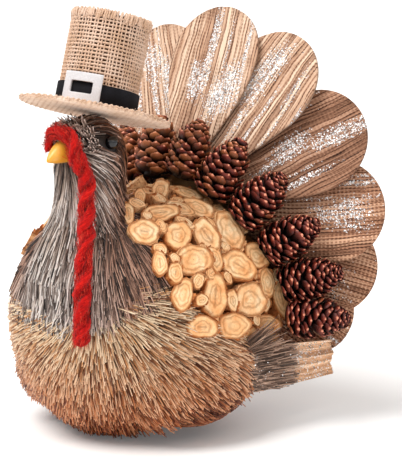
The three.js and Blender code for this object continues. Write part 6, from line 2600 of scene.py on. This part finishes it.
@dataclass
class Face:
    """The beak, the eyes and the wattle."""

    beak_radius: float = 8.5
    beak_length: float = 17
    beak_droop: float = 5.2
    beak_sunk: float = 6
    eye_radius: float = 4.6
    wattle_radius: float = 5.5
    wattle_turn: Span = (40, 34)
    loop: tuple[Span, ...] = ((-96, 11), (-62, 12.2), (-28, 13.8), (4, 14.6), (38, 15), (70, 15), (98, 14.6))
    wattle_end: float = 79
    wattle_steps: int = 300
    plies: int = 2
    ply_sides: int = 24
    twist: float = 36
    ripples: tuple[Place, ...] = ((2, 3.1, 0.07), (3, 1.9, 0.07), (5, 1.1, 0.05), (7, -0.8, 0.04))
    hairs: int = 5200
    hair_radius: float = 0.1
    rng: Rng = field(default_factory=lambda: seeded(150))

    def beak(self) -> None:
        """Makes the glossy beak."""
        steps, sides = 26, 36
        share, turn = np.linspace(0, 1, steps)[:, None], circle(sides)[None]
        radius = self.beak_radius * np.maximum(0.02, 1 - share**2 * 0.95) ** 0.8
        x = 0.96 * radius * np.sin(turn)
        start = NECK_AXIS_Y - BODY.head_radius - BODY.coat + self.beak_sunk
        y = start - (self.beak_length + self.beak_sunk) * share
        z = BODY.beak_height - self.beak_droop * share**2 + radius * (1 + 0.05 * np.cos(turn)) * np.cos(turn)
        sheaf = Sheaf("beak_horn")
        tip = (steps - 1) * sides + np.arange(sides)[None]
        points = np.stack(np.broadcast_arrays(x, y, z), axis=-1)
        sheaf.add(points, [grid_faces(steps, sides, closed=True), tip])
        show(sheaf.piece([PlainFinish.HORN.material()]), "horn", "beak")

    def eye(self, side: Side) -> None:
        """Makes one bead.

        Args:
            side: Which eye.
        """
        rows, columns = 20, 32
        sheaf = Sheaf(f"eye_bead_{side.label}")
        points = NeckCoat().eye(side) + unit_ball(rows, columns) * self.eye_radius
        sheaf.add(points, [grid_faces(rows, columns, closed=True)[:, ::-1]])
        show(sheaf.piece([PlainFinish.BEAD.material()]), "bead", f"eye_{side.label}")

    def reach(self, height: float, turn: float) -> float:
        """Measures how far the coat stands out from the neck's axis.

        Args:
            height: The height.
            turn: The turn from straight ahead.

        Returns:
            The distance in millimetres.
        """
        out = np.array([math.sin(turn), -math.cos(turn), 0.0])
        far = float(BODY.neck_radius(np.array(height)))
        while far < 120 and BODY.gap(np.array([0, NECK_AXIS_Y, height]) + out * far) < 0:
            far += 0.5
        return far + BODY.coat

    def route(self) -> Array:
        """Gives the wattle's route: up beside the beak, over it and down the neck.

        Returns:
            Its points, from the beak to the end.
        """
        stand_off = self.wattle_radius + 0.4
        y = NECK_AXIS_Y - BODY.head_radius - BODY.coat - stand_off
        points = []
        for turn, out in self.loop:
            a = math.radians(turn)
            points.append((out * math.sin(a), y + 2.5 * (turn < -60), BODY.beak_height + out * math.cos(a)))
        for height in np.linspace(BODY.beak_height - self.loop[-1][1], self.wattle_end, 10):
            share = min(1.0, max(0.0, (BODY.head_height - height) / (BODY.head_height - self.wattle_end)))
            turn = math.radians(self.wattle_turn[0] + (self.wattle_turn[1] - self.wattle_turn[0]) * share)
            levels = (height - self.wattle_radius, height, height + self.wattle_radius)
            far = max(self.reach(level, turn) for level in levels) + stand_off - 1.2
            points.append((far * math.sin(turn), NECK_AXIS_Y - far * math.cos(turn), height))
        return np.array(points, float)

    def smooth_route(self) -> Array:
        """Gives points evenly along the route, with its corners rounded.

        Returns:
            The points.
        """
        points = self.route()
        for _ in range(4):
            low = points[:-1] * 0.75 + points[1:] * 0.25
            high = points[:-1] * 0.25 + points[1:] * 0.75
            middle = np.stack([low, high], axis=1).reshape(-1, 3)
            points = np.concatenate([points[:1], middle, points[-1:]])
        run = lengths_along(points)
        even = np.linspace(0, run[-1], self.wattle_steps)
        return np.stack([np.interp(even, run, points[:, i]) for i in range(3)], axis=-1)

    def wattle(self) -> None:
        """Makes the loosely twisted wool wattle with its stray fibres."""
        spine = self.smooth_route()
        tangent = unit(np.gradient(spine, axis=0))
        across = np.empty_like(tangent)
        across[0] = unit(np.cross(tangent[0], (0, 1, 0)))
        for i in range(1, len(spine)):
            across[i] = unit(across[i - 1] - tangent[i] * (across[i - 1] @ tangent[i]))
        upright = np.cross(tangent, across)
        sheaf = Sheaf("wool_wattle")
        for k in range(self.plies):
            self.ply(sheaf, k, spine, across, upright)
        self.fuzz(sheaf, spine, across, upright)
        show(sheaf.piece([WoolFinish().material()]), "red_wool", "wattle")

    def ply(self, sheaf: Sheaf, k: int, spine: Array, across: Array, upright: Array) -> None:
        """Adds one ply of the wattle.

        Args:
            sheaf: The wattle.
            k: The ply's number, from 0.
            spine: The wattle's middle line.
            across: One way across it.
            upright: The other way across it.
        """
        run = lengths_along(spine)
        ends = np.clip((run[-1] - run) / 4.0, 0.0, 1.0) ** 0.5
        ends = np.minimum(0.42 + 0.58 * np.clip(run / 42, 0, 1), ends)
        turn = circle(self.ply_sides)[None]
        angle = run / self.twist * FULL_TURN + k * FULL_TURN / self.plies
        angle = angle + 0.6 * np.sin(run / 14 + 1) + 0.3 * np.sin(run / 5.3)
        aside = np.cos(angle)[:, None] * across + np.sin(angle)[:, None] * upright
        path = spine + self.wattle_radius * 0.4 * ends[:, None] * aside
        lump = 1 + 0.17 * np.sin(run / 3.7 + 2.3 * k + np.sin(run / 9)) + 0.08 * np.sin(run / 1.9 + k)
        radius = self.wattle_radius * 0.66 * lump * np.maximum(0.15, ends)
        points, faces = tubes(path[None], radius[None], self.ply_sides)
        ripple = sum(
            a * np.sin(n * turn + run[:, None] / p + self.rng.uniform(*ANY_PHASE)) for n, p, a in self.ripples
        )
        rough = (ripple + self.rng.normal(0, 0.035, ripple.shape))[None, ..., None]
        points = points + (points - path[None, :, None]) * rough
        coil = turn * 3.6 + run[:, None] * 0.9
        sheet = np.stack(np.broadcast_arrays(coil, run[:, None], 9.0 * k), axis=-1)
        # Painted shade: darker where the ply turns in towards the other ply, in the crevice of the twist, and
        # in the dips of the ripples.
        inner = np.sum((points[0] - path[:, None]) * aside[:, None], axis=-1) / radius[:, None]
        shade = np.clip(0.62 + 0.5 * inner + 2 * ripple, 0, 1).ravel()
        # Painted light: paler on the lumps that stand out, darker in the dips.
        tone = (0.45 + 1.2 * ripple).ravel()
        sheaf.add(points, faces, sheet=sheet.reshape(-1, 3), tone=tone, along=shade)

    def fuzz(self, sheaf: Sheaf, spine: Array, across: Array, upright: Array) -> None:
        """Adds stray fibres round the wattle.

        Args:
            sheaf: The wattle.
            spine: Its middle line.
            across: One way across it.
            upright: The other way across it.
        """
        rng, count, each = self.rng, self.hairs, (self.hairs, 1)
        at = rng.integers(2, len(spine) - 2, count)
        angle = rng.uniform(0, FULL_TURN, count)
        out = np.cos(angle)[:, None] * across[at] + np.sin(angle)[:, None] * upright[at]
        along = unit(spine[at + 1] - spine[at - 1])
        way = unit(out * rng.uniform(0.0, 0.55, each) + along * rng.choice([-1, 1], each) * 0.7)
        far = out * self.wattle_radius * rng.uniform(0.55, 0.95, each) * np.clip(at / 30, 0.4, 1)[:, None]
        start = spine[at] + far
        way = way * rng.uniform(1.6, 4.6, count)[:, None]
        curl = rng.normal(0, 0.5, (count, 3))
        paths = np.stack([start, start + way * 0.5 + curl * 0.5, start + way + curl - out * 0.3], axis=1)
        points, faces = tubes(paths, self.hair_radius, 3)
        tone = np.repeat(rng.uniform(0.5, 1.0, count), points[0].size // 3)
        sheaf.add(points, faces[:2], sheet=points.reshape(-1, 3) * 0.2, tone=tone, along=1.0)

    def build(self) -> None:
        """Makes the face."""
        self.beak()
        self.eye(Side.LEFT)
        self.eye(Side.RIGHT)
        self.wattle()


@dataclass
class HiddenParts:
    """The cores, the stick, the board and the pad, which keep their solids and get a finish."""

    finishes: dict[str, Enum] = field(default_factory=lambda: {
        "body_core": PlainFinish.FOAM,
        "neck_core": PlainFinish.FOAM,
        "neck_dowel": PlainFinish.DOWEL,
        "tail_back_disc": PlainFinish.KRAFT,
        "base_pad": Weave.PAD,
    })

    def build(self) -> None:
        """Dresses the solids."""
        made: dict[Enum, Material] = {}
        for node, finish in self.finishes.items():
            material = made.setdefault(finish, finish.material())
            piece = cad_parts[node]
            for slot in piece.material_slots:
                slot.material = material
            LOG.info("%s: finish %s", node, material.name)


def main() -> None:
    """Builds the figure and its studio."""
    logging.basicConfig(level=logging.INFO, format="%(message)s")
    Studio().build()
    BreastCoat().build()
    NeckCoat().build()
    TwigSlices().build()
    PineCones().build()
    TailFan().build()
    grey = StrawFinish("wing_grey_straw", "534035", "987967", "ddb8a0", "aa6b47").material()
    veneer = BarkFinish("wing_veneer", "ffd6b0", "dcae88", "946a4e", lines=0.4).material()
    silver = GlitterFinish("wing_flake").material()
    for side in (Side.LEFT, Side.RIGHT):
        wing = Wing(side)
        wing.straw_part([grey, silver])
        wing.tip([veneer, silver])
    Hat().build()
    Face().build()
    HiddenParts().build()


if __name__ == "__main__":
    main()
